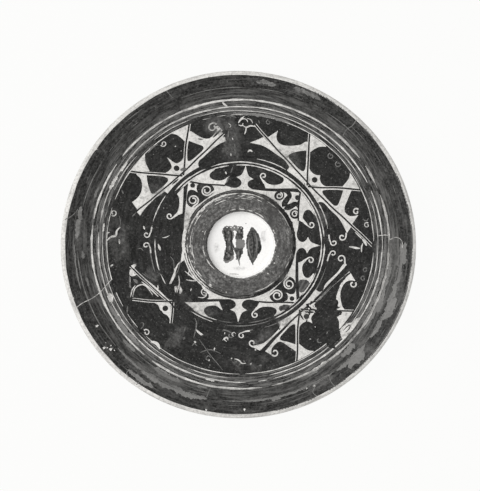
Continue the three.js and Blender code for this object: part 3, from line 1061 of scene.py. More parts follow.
CRACK_WIDTH = 0.55

# Chips through the slip: angle, radius and size.
CHIPS = (
    (218.1, 126.4, 0.8), (219.9, 123.6, 1.0), (221.0, 122.2, 0.5), (218.9, 121.9, 0.4),
    (218.7, 124.7, 0.45), (217.0, 123.4, 0.35), (210.4, 121.9, 0.8), (297.5, 120.9, 0.8),
    (294.7, 120.4, 0.6), (272.0, 125.4, 0.7), (259.2, 127.8, 0.7), (303.7, 119.8, 0.4),
    (145.4, 128.8, 0.8), (198.2, 128.6, 0.5),
)


def lip_line(places):
    """How far out the rim's slip runs over the lip at each place: farther on the right, and unevenly."""
    turn = np.arctan2(places[:, 1], places[:, 0])
    wavering = 0.25 * uneven(np.degrees(turn), 1, (3, 8, 19, 37, 61))
    return LIP_LINE + 0.4 * (1 + np.cos(turn + 0.17)) + wavering


def cracks_and_chips(painting):
    """The cracks, and the chips, which are round or broad by turns."""
    for paint, *points in CRACKS:
        path = [tuple(Brush(painting, angle).places([(0, radius)])[0]) for angle, radius in points]
        painting.lay(paint, ragged(stroke(path, [CRACK_WIDTH, CRACK_WIDTH * 0.6], step=0.8), 0.1, 7))
    for seed, (angle, radius, size) in enumerate(CHIPS):
        chip = arc((0, 0), size, 0, 360, 30)[:-1] * (1, 1.3 - 0.35 * (seed % 3)) + (0, radius)
        painting.lay(CLAY, ragged(Brush(painting, angle).places(chip), size * 0.3, seed))


# The white ground was laid a little off the middle.
GROUND_CENTRE = (1.1, -0.6)
GROUND_RADIUS = 25.3

# The collar's dark outer edge, given as the floor's lines are. The first, broad band is painted shade:
# it lies only on the right of the collar's outer slope, which faces away from the key light. The
# others are thin dark lines.
COLLAR_EDGES_AND_SHADE = (
    (SLIP, 40.7, 2.50, 0.00, ((58, 284),)),
    (SLIP, 41.6, 0.70, 0.10, ((0, 50), (150, 196), (290, 361))),
    (SLIP, 39.8, 0.60, 0.20, ((0, 58), (290, 361))),
)
# Its thin lines of bare clay, given the same way: partly worn lines and partly painted highlights, most of
# them on the upper left, where the collar faces the key light.
COLLAR_LINES_AND_HIGHLIGHTS = (
    (CLAY, 42.2, 0.80, 0.10, ((0, 64), (236, 361))),
    (CLAY, 38.9, 0.70, 0.20, ((0, 60), (240, 361))),
    (CLAY, 37.4, 0.60, 0.30, ((0, 70), (150, 196), (222, 361))),
    (CLAY, 38.6, 0.50, 0.35, ((60, 285),)),
    (CLAY, 36.4, 0.60, 0.30, ((0, 62), (108, 140), (214, 361))),
    (CLAY, 35.2, 0.45, 0.45, ((0, 74), (205, 361))),
    (CLAY, 26.9, 0.60, 0.55, ()),
)

# Bare clay on the left of the collar's outer slope, given as the rim's losses are: partly wash worn off
# and partly a painted highlight where the slope faces the key light. Then how many pale specks the
# collar has, and near which radii.
BARE_AND_LIT_EDGES = ((152, 190, 40.6, 42.7), (184, 236, 40.3, 41.3))
COLLAR_SPECKS = 60
SPECKED_RADII = (27.4, 30.0, 36.4, 38.0)


def on_ground(places):
    """Whether each place lies on the white ground."""
    return np.hypot(places[:, 0] - GROUND_CENTRE[0], places[:, 1] - GROUND_CENTRE[1]) < GROUND_RADIUS


def collar_and_ground(painting, s):
    """The collar's grey wash with its worn and dark edges, painted shade on the right of its outer slope
    and painted highlights on its upper left, and the white ground in the middle.
    """
    painting.lay(WASH, circle(s.floor_start))
    painting.rings(COLLAR_EDGES_AND_SHADE, seed=41, seed_step=3)
    painting.rings(COLLAR_LINES_AND_HIGHLIGHTS, seed=60)
    painting.torn_strips(CLAY, BARE_AND_LIT_EDGES, seed=53, seed_step=3)
    # Painted highlight: a pale strip on the upper left of the collar, on the side toward the key light.
    painting.torn_strip(LINE_CLAY, 96, 150, 38.0, 39.3, seed=62)
    random = np.random.default_rng(5)
    for _ in range(COLLAR_SPECKS):
        angle = random.uniform(0, 360)
        edge = random.choice(SPECKED_RADII) + random.uniform(-1.0, 1.0)
        paint = random.choice((LINE_CLAY, SKIN, SKIN))
        speck = arc((0, edge), random.uniform(0.2, 0.6), 0, 360, 10)[:-1]
        painting.lay(paint, Brush(painting, angle).places(speck * (random.uniform(0.8, 2.2), 1)))
    for paint, reach, seed in ((SKIN, GROUND_RADIUS + 0.5, 8), (GROUND, GROUND_RADIUS, 9)):
        painting.lay(paint, ragged(arc(GROUND_CENTRE, reach, 0, 360, 240)[:-1], 0.5, seed))
    painting.band(GAP, s.centre_end, s.crown_start)


# The leaves, from below to above: the paint, the depth and the seed of the torn edge, and the points
# round it, across and out from the centre.
LEAVES_UNDER = (
    (SKIN, 0.6, 21, ((-12.0, 12.9), (-6.4, 12.8), (-4.8, 6.0), (-5.3, 0.0), (-4.0, -7.0), (-5.6, -12.6),
                     (-11.8, -13.4), (-11.2, -6.0), (-10.4, 0.0), (-12.3, 6.0))),
    (FIGURE, 0.5, 22, ((-11.4, 12.4), (-6.8, 12.2), (-5.2, 6.0), (-5.8, 0.0), (-4.6, -7.0), (-6.4, -11.6),
                       (-11.2, -12.6), (-10.6, -6.0), (-9.8, 0.0), (-11.8, 6.0))),
    (FIGURE, 0.5, 23, ((-1.6, 13.4), (1.8, 12.8), (2.4, 8.0), (1.8, 3.4), (-3.4, 3.2), (-2.8, 7.6))),
    (FIGURE, 0.5, 24, ((-2.8, -3.0), (2.0, -3.2), (1.8, -8.0), (-0.4, -12.6), (-2.6, -9.0))),
)
LEAVES_OVER = (
    (SKIN, 0.3, 25, ((-2.6, 2.7), (2.8, 2.9), (3.6, 0.0), (2.8, -2.9), (-2.2, -3.0), (-3.0, 0.0))),
    (FIGURE, 0.4, 26, (sharp(9.0, 13.2), (13.2, 9.6), (15.2, 4.0), (15.6, -2.0), (13.6, -8.0),
                       sharp(10.2, -16.2), (6.2, -8.0), (4.5, -1.0), (5.0, 5.4))),
)

# Strokes along the leaves: paint, width and points. Then the last traces, which lie over all the rest.
LEAF_STROKES = (
    (SLIP, 1.0, ((9.6, 9.0), (10.4, 0.0), (10.0, -11.0))),
    (SLIP, 2.4, ((14.6, 2.2), (15.1, -2.4), (14.0, -7.2))),
    (SKIN, 0.9, ((6.6, 4.0), (6.4, -3.0), (8.2, -9.0))),
    (SKIN, 0.8, ((11.8, 8.6), (12.8, 2.0), (12.2, -6.0))),
    (SLIP, 0.9, ((-11.0, 11.0), (-10.6, 4.0), (-9.8, -2.0), (-10.8, -11.0))),
    (SLIP, 0.9, ((-6.6, 10.6), (-6.2, 3.0), (-5.4, -6.0))),
    (SLIP, 0.9, ((0.8, 12.0), (1.0, 8.0), (0.4, 4.4))),
    (SLIP, 0.9, ((0.6, -4.4), (0.8, -7.6), (-0.4, -11.0))),
)
LAST_TRACES = (
    (SKIN, 1.0, ((-0.6, -9.6), (-0.2, -13.4), (0.4, -16.6))),
    (SKIN, 0.6, ((-7.4, -23.0), (-0.6, -23.5))),
    (SKIN, 0.9, ((4.6, 15.8), (5.2, 15.4))),
)

# Where the leaves are worn to grey: middle, half width and half height of each spot, and small dots.
GREY_SPOTS = (
    (-8.4, 8.6, 0.7, 1.4), (-8.0, 3.2, 0.6, 1.6), (-7.6, -3.4, 0.7, 1.9), (-8.2, -9.0, 0.8, 1.2),
    (-0.6, 9.4, 0.6, 1.3), (-0.9, -7.0, 0.5, 1.2),
)
GREY_DOTS = ((-10.2, 3.4), (-9.6, -7.2), (-4.6, 6.0), (1.2, 8.2), (-2.2, -11.6), (-6.0, -10.2))


def leaves_in_centre(painting):
    """The worn picture on the white ground of the round centre: plain upright leaves side by side."""
    brush = Brush(painting, 90)
    for paint, depth, seed, edge in LEAVES_UNDER:
        brush.torn(paint, edge, depth, seed)
    brush.trace(FIGURE, ((-6.2, 2.0), (-3.8, -4.4), (-1.2, -9.6)), 1.2)
    for paint, depth, seed, edge in LEAVES_OVER:
        brush.torn(paint, edge, depth, seed)
    for paint, width, points in LEAF_STROKES:
        brush.trace(paint, points, width)
    for across, out, wide, tall in GREY_SPOTS:
        left, right = across - wide, across + wide
        brush.shape(SKIN, [(left, out), (across, out + tall), (right, out), (across, out - tall)])
    worn_top = [(-6.6, 13.2), (-1.0, 13.4), (-1.2, 10.8), (-3.6, 9.6), (-6.4, 10.2)]
    brush.torn(SKIN, worn_top, depth=0.5, seed=27)
    for across in (-9.4, -6.6, -4.2, -1.4, 1.0):
        brush.dot(GROUND, (across, 11.8 + 0.3 * across % 0.9), 0.42)
    for place in GREY_DOTS:
        brush.dot(SKIN, place, 0.6)
    for paint, width, points in LAST_TRACES:
        brush.trace(paint, points, width)


def rim_and_wall(painting, s):
    """The bare lip, the slip on the rim and the wall, and the patches that flaked off or were rubbed."""
    painting.lay(LIP_CLAY, circle(s.lip_centre))
    around = circle(1.0)
    painting.lay(RIM_SLIP, around * np.minimum(lip_line(around), s.lip_centre - 0.1)[:, None])
    painting.lay(WALL_SLIP, circle(WALL_END))
    painting.torn_strips(SKIN, LOSSES, seed=100, seed_step=3)
    painting.torn_strips(FAINT, RUBBED, seed=180, seed_step=3)


def outer_zone(painting):
    """The floor's outer zone: black slip, the lines drawn on the wheel there and on the rim, the four
    sectors of the outer square, the stains over them, and the curls between them."""
    painting.lay(SLIP, circle(FLOOR_SLIP_END))
    painting.rings(RIM_LINES, seed=200)
    painting.rings(FLOOR_LINES, seed=230)
    for sector in SECTORS:
        wings_of_sector(painting, sector)
        flares_of_sector(painting, sector)
        heart_of_sector(painting, sector)
    for angle, depth, seed, edge in STAINS:
        Brush(painting, angle).torn(SLIP, edge, depth, seed)
    for sector in SECTORS:
        lines_of_sector(painting, sector)
    smear(painting)
    for mid_side in MID_SIDES:
        curls_at_mid_side(painting, mid_side)


def inner_zone(painting):
    """The floor's inner zone, with the inner square, and the band with fine lines that ends it."""
    painting.lay(SLIP, circle(INNER_SLIP_END))
    inner_square(painting)
    for star in STARS:
        wedges_and_star(painting, star)
    thinned_lobes(painting)
    painting.band(SLIP, INNER_ZONE_END, OUTER_ZONE_START)
    painting.rings(ZONE_LINES, seed=240)


def ridges(painting):
    """The rubbed slip on the ridges, its lines of bare clay, and where they are lost or spread."""
    painting.band(SLIP, OUTER_ZONE_END, FLOOR_SLIP_END)
    painting.band(RIM_SLIP, FLOOR_SLIP_END, RIDGES_START)
    painting.band(RIDGE_SLIP, RIDGES_START, RIDGES_END)
    painting.rings(GREY_RIDGE_LINES, seed=300, drift=RIDGE_DRIFT)
    painting.rings(PALE_RIDGE_LINES, seed=260, drift=RIDGE_DRIFT)
    painting.torn_strip(SLIP, 310, 319, 98.0, 104.6, seed=93)
    painting.torn_strip(SLIP, 196, 202, 97.4, 101.0, seed=90)
    painting.torn_strip(SKIN, 68, 93, 98.4, 100.4, seed=81)
    flake = Brush(painting, 322)
    edge = [(-10.8, 105.6), (-9.9, 104.2), (-3.8, 102.7), (-1.8, 100.8), (2.7, 99.6), (5.4, 99.9),
            (9.0, 103.1), (9.9, 104.6), (7.2, 105.6)]
    flake.torn(LINE_CLAY, edge, depth=0.3, seed=87)
    flake.trace(SLIP, ((4.6, 101.8), (0.4, 102.0), (-1.6, 103.2), (1.2, 104.2), (4.6, 103.8)), 0.7)
    wedge = [(-3.4, 105.4), (3.2, 105.2), (1.0, 102.2)]
    Brush(painting, 203).torn(LINE_CLAY, wedge, depth=0.2, seed=88)
    Brush(painting, 96).trace(LINE_CLAY, ((-1.2, 108.6), (0.2, 106.4), (1.8, 104.8)), 1.5)
    painting.torn_strip(FAINT, 318, 360, 106.8, 109.4, seed=86)
    painting.torn_strips(LINE_CLAY, BRIGHT_SCRAPS, seed=70, seed_step=2)
    painting.torn_strip(SKIN, 206, 226, 105.8, 109.0, seed=84)


def scraps_and_small_curls(painting):
    """What is left of the finest drawing, and the small marks."""
    for angle, *scraps in SCRAPS:
        brush = Brush(painting, angle)
        for paint, width, points in scraps:
            brush.trace(paint, points, width)
    for angle, paint, *winding in SMALL_CURLS:
        Brush(painting, angle).lay(paint, curl(*winding, width=0.7))


def plate_painting(s):
    """Everything painted on the upper surface, from the lip to the centre."""
    painting = Painting()
    rim_and_wall(painting, s)
    outer_zone(painting)
    inner_zone(painting)
    ridges(painting)
    scraps_and_small_curls(painting)
    collar_and_ground(painting, s)
    leaves_in_centre(painting)
    cracks_and_chips(painting)
    return painting


# Meshes.

# How far guide points stand apart, from ring to ring and along a ring, and the most on one ring. Then
# how closely points count as one, the step over which slopes are measured, and how many steps the
# upper surface's length is measured in.
RING_GAP = 2.4
GUIDE_GAP = 2.5
MOST_GUIDES = 230
WELD = 0.001
SLOPE_STEP = 0.03
LENGTH_STEPS = 900

# The flat map that the finish is baked to: middle and radius of the upper and the lower disc.
TOP_DISC = ((0.41, 0.59), 0.40)
LOW_DISC = ((0.865, 0.135), 0.13)


def guide_points(s):
    """Points that keep the faces small, on rings: closely set where the section curves most."""
    rings = [
        *np.arange(2.0, s.centre_end - 0.8, RING_GAP),
        *np.linspace(s.crown_start, s.floor_start, 13),
        *np.arange(s.floor_start + 2.0, s.floor_end - 0.6, RING_GAP),
        *np.linspace(s.floor_end, s.hollow_start, 29),
        *np.linspace(s.hollow_start, s.rim_start, 9),
        *np.linspace(s.rim_start, s.rim_start + 1.5, 4),
        *np.linspace(s.rim_start + 2.2, s.lip_centre - 0.6, 9),
    ]
    found = []
    for i, radius in enumerate(rings):
        steps = min(MOST_GUIDES, max(8, round(2 * math.pi * radius / GUIDE_GAP)))
        found.append(circle(radius, steps) @ rotation(i * 1.7))
    return np.vstack(found)


def rotation(degrees):
    """A turn in the plane, for points in rows."""
    c, s = math.cos(math.radians(degrees)), math.sin(math.radians(degrees))
    return np.array([[c, s], [-s, c]])


def waves(s, x, y):
    """The low, uneven waves that fingers left in the clay while it turned. They die out at the collar's
    inner edge and at the lip."""
    radius = np.hypot(x, y)
    turn = np.arctan2(y, x)
    wave = 0.05 * np.sin(2 * np.pi * radius / 6.3 + turn)
    wave += 0.04 * np.sin(2 * np.pi * radius / 4.1 - 2 * turn + 1.3)
    wave += 0.05 * np.sin(3 * turn + 0.7 + radius / 21)
    window = 1 - smooth(np.abs(radius - s.centre_radius), 4.0, 1.2)
    return wave * window * smooth(s.lip_centre - radius, 0.3, 3.0)


def relief_height(s, x, y):
    """Height of the upper surface with all its unevenness."""
    return top_height(s, np.hypot(x, y)) + waves(s, x, y)


def painted_top(s):
    """The upper surface, cut along every painted outline: places, normals, faces and their paints."""
    painting = plate_painting(s)
    points = []
    faces = []
    for outline in painting.outlines:
        faces.append(list(range(len(points), len(points) + len(outline))))
        points.extend(outline.tolist())
    points.extend(guide_points(s).tolist())
    places = [Vector(p) for p in points]
    corners, _, triangles, _, _, origins = delaunay_2d_cdt(places, [], faces, 0, WELD, True)
    flat = np.array([tuple(c) for c in corners])
    triangles = np.array([tuple(t) for t in triangles])
    paints = np.array([painting.paints[max(o)] if o else GAP for o in origins])
    triangles = triangles[paints != GAP]
    paints = paints[paints != GAP]
    x, y = flat.T
    step = SLOPE_STEP
    slope_x = (relief_height(s, x + step, y) - relief_height(s, x - step, y)) / (2 * step)
    slope_y = (relief_height(s, x, y + step) - relief_height(s, x, y - step)) / (2 * step)
    normals = np.column_stack([-slope_x, -slope_y, np.ones(len(x))])
    places = np.column_stack([x, y, relief_height(s, x, y)])
    return places, normals, triangles, paints


def all_round(pairs):
    """Pairs of a reach outwards and a height, each in every direction round the axis."""
    flat = (pairs[:, None, :1] * circle(1.0)[None]).reshape(-1, 2)
    return np.hstack([flat, np.repeat(pairs[:, 1], TURN_POINTS)[:, None]])


def turned(section, paint):
    """A section of (radius, height) points turned round the axis: places, normals, faces and paints."""
    along = np.gradient(section, axis=0)
    out = np.column_stack([-along[:, 1], along[:, 0]])
    row, column = np.meshgrid(np.arange(len(section) - 1), np.arange(TURN_POINTS), indexing="ij")
    here = (row * TURN_POINTS + column).ravel()
    beside = (row * TURN_POINTS + (column + 1) % TURN_POINTS).ravel()
    first = np.column_stack([here, here + TURN_POINTS, beside + TURN_POINTS])
    second = np.column_stack([here, beside + TURN_POINTS, beside])
    faces = np.vstack([first, second])
    return all_round(section), all_round(out), faces, np.full(len(faces), paint)


def collar_wall(s):
    """The short wall from the sunk centre up to the collar."""
    edge = s.collar_edge
    low = arc((s.centre_end, s.sunk_height + edge), edge, -90, 0, 5)
    high = arc((s.crown_start, s.collar_top - edge), edge, 180, 90, 5)
    places, normals, faces, _ = turned(np.vstack([low, high]), WASH)
    return places, normals, faces, np.where(on_ground(places[faces].mean(axis=1)), GROUND, WASH)


def lip(s):
    """The rolled lip, from its top round to its underside."""
    section = arc((s.lip_centre, s.lip_top - s.lip_radius), s.lip_radius, 90, -90, LIP_STEPS)
    places, normals, faces, paints = turned(section, LIP_CLAY)
    middles = places[faces].mean(axis=1)
    above = middles[:, 2] > s.lip_top - s.lip_radius
    slipped = above & (np.hypot(middles[:, 0], middles[:, 1]) < lip_line(middles))
    return places, normals, faces, np.where(slipped, RIM_SLIP, paints)


def underside(s):
    """The underside, the ring foot and the recess inside it, back to the axis."""
    root = s.foot_radius + s.foot_taper
    inner = s.foot_radius - s.foot_width
    sweep_top = s.hollow_start_height - s.body_thickness
    sweep = [
        (root + (s.hollow_start - root) * t, s.foot_height + (sweep_top - s.foot_height) * t**2)
        for t in (1, 2 / 3, 1 / 3, 0)
    ]
    shoulder = (s.rim_start + s.body_thickness / 4, s.rim_start_height - s.body_thickness)
    under_lip = (s.lip_centre, s.lip_top - 2 * s.lip_radius)
    bevel = s.foot_bevel
    recess = np.linspace(inner - s.foot_taper, 0.0, 10)
    section = np.vstack(
        [
            drawn([under_lip, shoulder, *sweep], closed=False, step=5.0),
            np.linspace((root, s.foot_height), (s.foot_radius, bevel), 6)[1:-1],
            arc((s.foot_radius - bevel, bevel), bevel, 0, -90, 4),
            arc((inner + bevel, bevel), bevel, -90, -180, 4),
            np.linspace((inner, bevel), (inner - s.foot_taper, s.foot_height), 6)[1:-1],
            np.column_stack([recess, np.full(len(recess), s.foot_height)]),
        ]
    )
    return turned(section, LIP_CLAY)


def arc_lengths(s):
    """Radii along the upper surface, and the length of its section from the centre to each."""
    radius = np.linspace(0, s.lip_centre, LENGTH_STEPS)
    height = top_height(s, radius)
    run = np.concatenate([[0], np.cumsum(np.hypot(np.diff(radius), np.diff(height)))])
    return radius, run


def on_disc(disc, reach, turn):
    """Places on a disc of the bake map, each a share of its radius out in the direction of a turn."""
    (across, up), radius = disc
    return np.column_stack([across + radius * reach * np.cos(turn), up + radius * reach * np.sin(turn)])


def bake_places(s, places, on_top):
    """Where each corner lies on the flat map that the finish is baked to: two discs, one for the upper
    surface and one for the underside, unrolled along the section so that no face is edge-on."""
    x, y, z = places.T
    radius = np.hypot(x, y)
    turn = np.arctan2(y, x)
    radii, run = arc_lengths(s)
    top_run = np.interp(radius, radii, run)
    wall = np.clip(z - s.sunk_height, 0, s.collar_top - s.sunk_height)
    near_wall = np.abs(radius - s.centre_radius) <= s.collar_edge + WELD
    start = np.interp(s.centre_end, radii, run)
    end = np.interp(s.crown_start, radii, run)
    full_climb = 2 * s.collar_edge + s.collar_top - s.sunk_height
    climb = (np.maximum(radius - s.centre_end, 0) + wall) / full_climb
    top_run = np.where(near_wall, start + (end - start) * climb, top_run)
    lip_angle = np.arctan2(radius - s.lip_centre, z - (s.lip_top - s.lip_radius))
    past_lip = np.where(radius > s.lip_centre, lip_angle * s.lip_radius, 0)
    top_run = top_run + np.maximum(past_lip, 0)
    top_reach = run[-1] + s.lip_radius * math.pi / 2
    on_foot = (radius < s.foot_radius + s.foot_taper) & (z < s.foot_height)
    low_run = radius + np.where(on_foot, s.foot_height - z, 0)
    low_reach = s.lip_centre + s.lip_radius
    top = on_disc(TOP_DISC, top_run / top_reach, turn)
    low = on_disc(LOW_DISC, low_run / low_reach, turn)
    return np.where(on_top[:, None], top, low)


# Where time changed both slip and clay: places, half widths, turn in degrees, and how much.
WORN_SPOTS = (
    ((-6, 80), (10, 28), 2, 0.45), ((-17, 90), (14, 9), -8, 0.62), ((-65, -23), (5, 9), 30, 0.45),
    ((-47, -71), (7, 17), -38, 0.5), ((-90, 6), (12, 26), 4, 0.3), ((-62, 44), (12, 9), 40, 0.35),
    ((-38, -45), (16, 5), -50, 0.35), ((-26, -50), (15, 5), -20, 0.3), ((12, -91), (34, 9), 4, 0.2),
    ((-37, 12), (6, 20), 14, 0.4), ((24, 30), (14, 8), -40, 0.3), ((17.5, 5), (3.5, 8), -8, 0.8),
    ((-17, -3), (4, 7), 0, 0.6), ((-1, -18.5), (9, 3), 4, 0.7), ((31, -22), (9, 10), 40, 0.45),
    ((47, -52), (13, 11), 40, 0.12), ((33, -58), (12, 7), -20, 0.3), ((18, -70), (13, 7), 30, 0.4),
    ((60, 20), (10, 9), 0, 0.3), ((38, 66), (13, 8), -30, 0.3), ((117, -18), (6, 40), 8, 0.55),
    ((92, -78), (24, 7), -50, 0.35), ((60, -104), (20, 6), 30, 0.35), ((-62, -100), (26, 6), -32, 0.6),
    ((-118, 8), (6, 20), 0, 0.4), ((-50, 98), (18, 5), 25, 0.3),
)


def wear_at(places):
    """How worn or stained each place is: the strongest of the soft oval spots there."""
    x, y = places[:, 0], places[:, 1]
    worn = np.zeros(len(x))
    for at, size, turn, much in WORN_SPOTS:
        c, s = math.cos(math.radians(turn)), math.sin(math.radians(turn))
        across = (x - at[0]) * c + (y - at[1]) * s
        along = (y - at[1]) * c - (x - at[0]) * s
        far = np.hypot(across / size[0], along / size[1])
        worn = np.maximum(worn, much * (1 - smooth(far, 0.35, 1.0)))
    return worn


def plate_mesh(s):
    """The whole plate as one closed mesh, with its paints, its bake map and its weathering."""
    parts = [painted_top(s), collar_wall(s), lip(s), underside(s)]
    offsets = np.cumsum([0, *[len(part[0]) for part in parts]])
    places = np.vstack([part[0] for part in parts])
    normals = np.vstack([part[1] for part in parts])
    normals /= np.linalg.norm(normals, axis=1)[:, None]
    faces = np.vstack([part[2] + offset for part, offset in zip(parts, offsets)])
    paints = np.concatenate([part[3] for part in parts])
    on_top = np.concatenate([np.full(len(part[2]), part is not parts[3]) for part in parts])
    lip_low = s.lip_top - s.lip_radius
    heights = places[faces, 2].mean(axis=1)
    reach = np.hypot(places[faces, 0], places[faces, 1]).mean(axis=1)
    on_top &= ~((reach > s.lip_centre) & (heights < lip_low))

    _, first, same = np.unique(np.round(places, 3), axis=0, return_index=True, return_inverse=True)
    same = same.ravel()
    welded = same[faces]
    whole = (welded != np.roll(welded, -1, axis=1)).all(axis=1)
    corner_normals = normals[faces[whole]].reshape(-1, 3)
    corner_maps = bake_places(s, places[faces[whole]].reshape(-1, 3), np.repeat(on_top[whole], 3))
    true_round = places[first]
    final = settled(s, true_round) * MM
    final = np.clip(final, np.array(PLATE_LOW), np.array(PLATE_HIGH))

    mesh = bpy.data.meshes.new("plate_body")
    mesh.from_pydata(final.tolist(), [], welded[whole].tolist())
    mesh.polygons.foreach_set("material_index", paints[whole].astype(np.int32))
    mesh.polygons.foreach_set("use_smooth", np.ones(len(mesh.polygons), bool))
    mesh.uv_layers.new(name="OFBake").data.foreach_set("uv", corner_maps.astype(np.float32).ravel())
    upper = (true_round[:, 2] > s.foot_height + 0.5).astype(float)
    worn = wear_at(true_round) * upper
    mesh.attributes.new("wear", "FLOAT", "POINT").data.foreach_set("value", worn.astype(np.float32))
    mesh.update()
    mesh.normals_split_custom_set(corner_normals.tolist())
    return mesh


# Materials.


def add(tree, kind, settings=None, links=None, **properties):
    """Adds a node: properties on the node itself, settings on its sockets, and links into them."""
    made = tree.nodes.new(kind)
    for name, value in properties.items():
        setattr(made, name, value)
    for socket, value in (settings or {}).items():
        made.inputs[socket].default_value = value
    for socket, source in (links or {}).items():
        tree.links.new(source, made.inputs[socket])
    return made


# Sockets of the mix node that mixes colours.
MIX_COLOURS = {"factor": 0, "first": 6, "second": 7, "result": 2}


def mixed(tree, factor, first, second):
    """first where factor is 0 and second where it is 1. Either may be a colour or a socket."""
    settings = {}
    links = {MIX_COLOURS["factor"]: factor}
    for place, value in (("first", first), ("second", second)):
        (links if isinstance(value, bpy.types.NodeSocket) else settings)[MIX_COLOURS[place]] = value
    return add(tree, "ShaderNodeMix", settings, links, data_type="RGBA").outputs[MIX_COLOURS["result"]]


def tinted(rgba, factor):
    """A colour made lighter or darker."""
    return (*[min(1.0, c * factor) for c in rgba[:3]], 1.0)


def ranged(tree, value, low, high, start=0.0, end=1.0, ease=False):
    """Spreads the part of a value from low to high over start to end, and holds it there beyond."""
    settings = {"From Min": low, "From Max": high, "To Min": start, "To Max": end}
    kind = "SMOOTHSTEP" if ease else "LINEAR"
    made = add(tree, "ShaderNodeMapRange", settings, {"Value": value}, interpolation_type=kind)
    return made.outputs[0]


def noise(tree, place, size, detail=4.0, roughness=0.6):
    """Uneven noise whose patches are about a size in millimetres."""
    settings = {"Scale": 1 / (size * MM), "Detail": detail, "Roughness": roughness}
    return add(tree, "ShaderNodeTexNoise", settings, {"Vector": place}).outputs["Fac"]


def turned_noise(tree, place, patches, size):
    """Noise drawn out along the turning: so many patches round the plate, each a size across it."""
    flat = add(tree, "ShaderNodeVectorMath", {1: (1, 1, 0)}, {0: place}, operation="MULTIPLY").outputs[0]
    radius = add(tree, "ShaderNodeVectorMath", None, {0: flat}, operation="LENGTH").outputs["Value"]
    around = add(tree, "ShaderNodeVectorMath", None, {0: flat}, operation="NORMALIZE").outputs[0]
    spread = (patches / (2 * math.pi),) * 3
    scale = {1: 1 / (size * MM)}
    outwards = add(tree, "ShaderNodeMath", scale, {0: radius}, operation="MULTIPLY").outputs[0]
    raised = add(tree, "ShaderNodeCombineXYZ", None, {"Z": outwards}).outputs[0]
    links = {0: around, 2: raised}
    where = add(tree, "ShaderNodeVectorMath", {1: spread}, links, operation="MULTIPLY_ADD").outputs[0]
    settings = {"Scale": 1.0, "Detail": 4.0, "Roughness": 0.62}
    return add(tree, "ShaderNodeTexNoise", settings, {"Vector": where}).outputs["Fac"]


# How strongly and how deep, in millimetres, streaks and grain can be felt, what share of the grain joins
# the streaks, and how glossy the fired surface is.
BUMP = 0.25
BUMP_DEPTH = 0.12
GRAIN_SHARE = 0.35
SHEEN = 0.12

# Sizes of the marks in millimetres: tone that shifts, streaks across their length, mottle, specks, torn
# patches and the flecks in them. Then how many streaks lie round the plate.
TONE_SIZE = 17
STREAK_SIZE = 1.5
MOTTLE_SIZE = 1.7
SPECK_SIZE = 1.1
TEAR_SIZE = 6
FLECK_SIZE = 2.6
STREAKS_ROUND = 46

# Patches open where a mark and the tearing noise add up to this. How much of the mark counts, and how
# far below and above it a patch's edge runs.
TEAR_LEVEL = 0.78
MARK_SHARE = 0.62
EDGE_BELOW = 0.14
EDGE_ABOVE = 0.2


def thrown_ceramic(
    name, clean, over, roughness, tone=0.3, streak=0.2, mottle=0.1, speckle=0.0, cover=0.1, patch=0.6
):
    """A fired surface that was turned on the wheel. Over its clean colour lies another one, in streaks
    round the plate, in a fine mottle, in specks, and in torn patches where the wear attribute is high.
    cover is how much of the second colour there is in patches away from the marked spots."""
    material = bpy.data.materials.new(name)
    material.use_nodes = True
    tree = material.node_tree
    tree.nodes.clear()
    place = add(tree, "ShaderNodeTexCoord").outputs["Object"]

    # Tone that shifts over a few centimetres, as slip fires darker where it lies thicker.
    shift = ranged(tree, noise(tree, place, TONE_SIZE), 0.32, 0.68)
    colour = mixed(tree, shift, tinted(clean, 1 - tone), tinted(clean, 1 + tone))

    # Streaks that run round the plate, as the brush left them on the wheel, and a finer mottle.
    lines = turned_noise(tree, place, STREAKS_ROUND, STREAK_SIZE)
    colour = mixed(tree, ranged(tree, lines, 0.45, 0.66, 0.0, streak), colour, over)
    grain = noise(tree, place, MOTTLE_SIZE, detail=3.0, roughness=0.7)
    colour = mixed(tree, ranged(tree, grain, 0.42, 0.66, 0.0, mottle), colour, over)
    if speckle:
        specks = noise(tree, place, SPECK_SIZE, detail=2.0)
        colour = mixed(tree, ranged(tree, specks, 0.64, 0.70, 0.0, speckle), colour, over)

    # Torn patches: the marked spot's softness and a ragged noise, cut off rather sharply.
    marked = add(tree, "ShaderNodeAttribute", attribute_name="wear").outputs["Fac"]
    torn = noise(tree, place, TEAR_SIZE, detail=7.0, roughness=0.7)
    links = {0: marked, 2: torn}
    level = add(tree, "ShaderNodeMath", {1: MARK_SHARE}, links, operation="MULTIPLY_ADD").outputs[0]
    edge = TEAR_LEVEL - cover
    patches = ranged(tree, level, edge - EDGE_BELOW, edge + EDGE_ABOVE, ease=True)
    flecks = noise(tree, place, FLECK_SIZE, detail=5.0, roughness=0.75)
    thinned = ranged(tree, flecks, 0.38, 0.64, 0.1, patch)
    covered = add(tree, "ShaderNodeMath", None, {0: patches, 1: thinned}, operation="MULTIPLY").outputs[0]
    colour = mixed(tree, covered, colour, over)

    gloss = ranged(tree, torn, 0.3, 0.7, roughness - 0.08, roughness + 0.08)
    links = {0: grain, 2: lines}
    height = add(tree, "ShaderNodeMath", {1: GRAIN_SHARE}, links, operation="MULTIPLY_ADD").outputs[0]
    settings = {"Strength": BUMP, "Distance": BUMP_DEPTH * MM}
    raised = add(tree, "ShaderNodeBump", settings, {"Height": height}).outputs["Normal"]
    settings = {"IOR": 1.45, "Specular IOR Level": SHEEN}
    links = {"Base Color": colour, "Roughness": gloss, "Normal": raised}
    shader = add(tree, "ShaderNodeBsdfPrincipled", settings, links)
    add(tree, "ShaderNodeOutputMaterial", None, {"Surface": shader.outputs[0]})
    return material


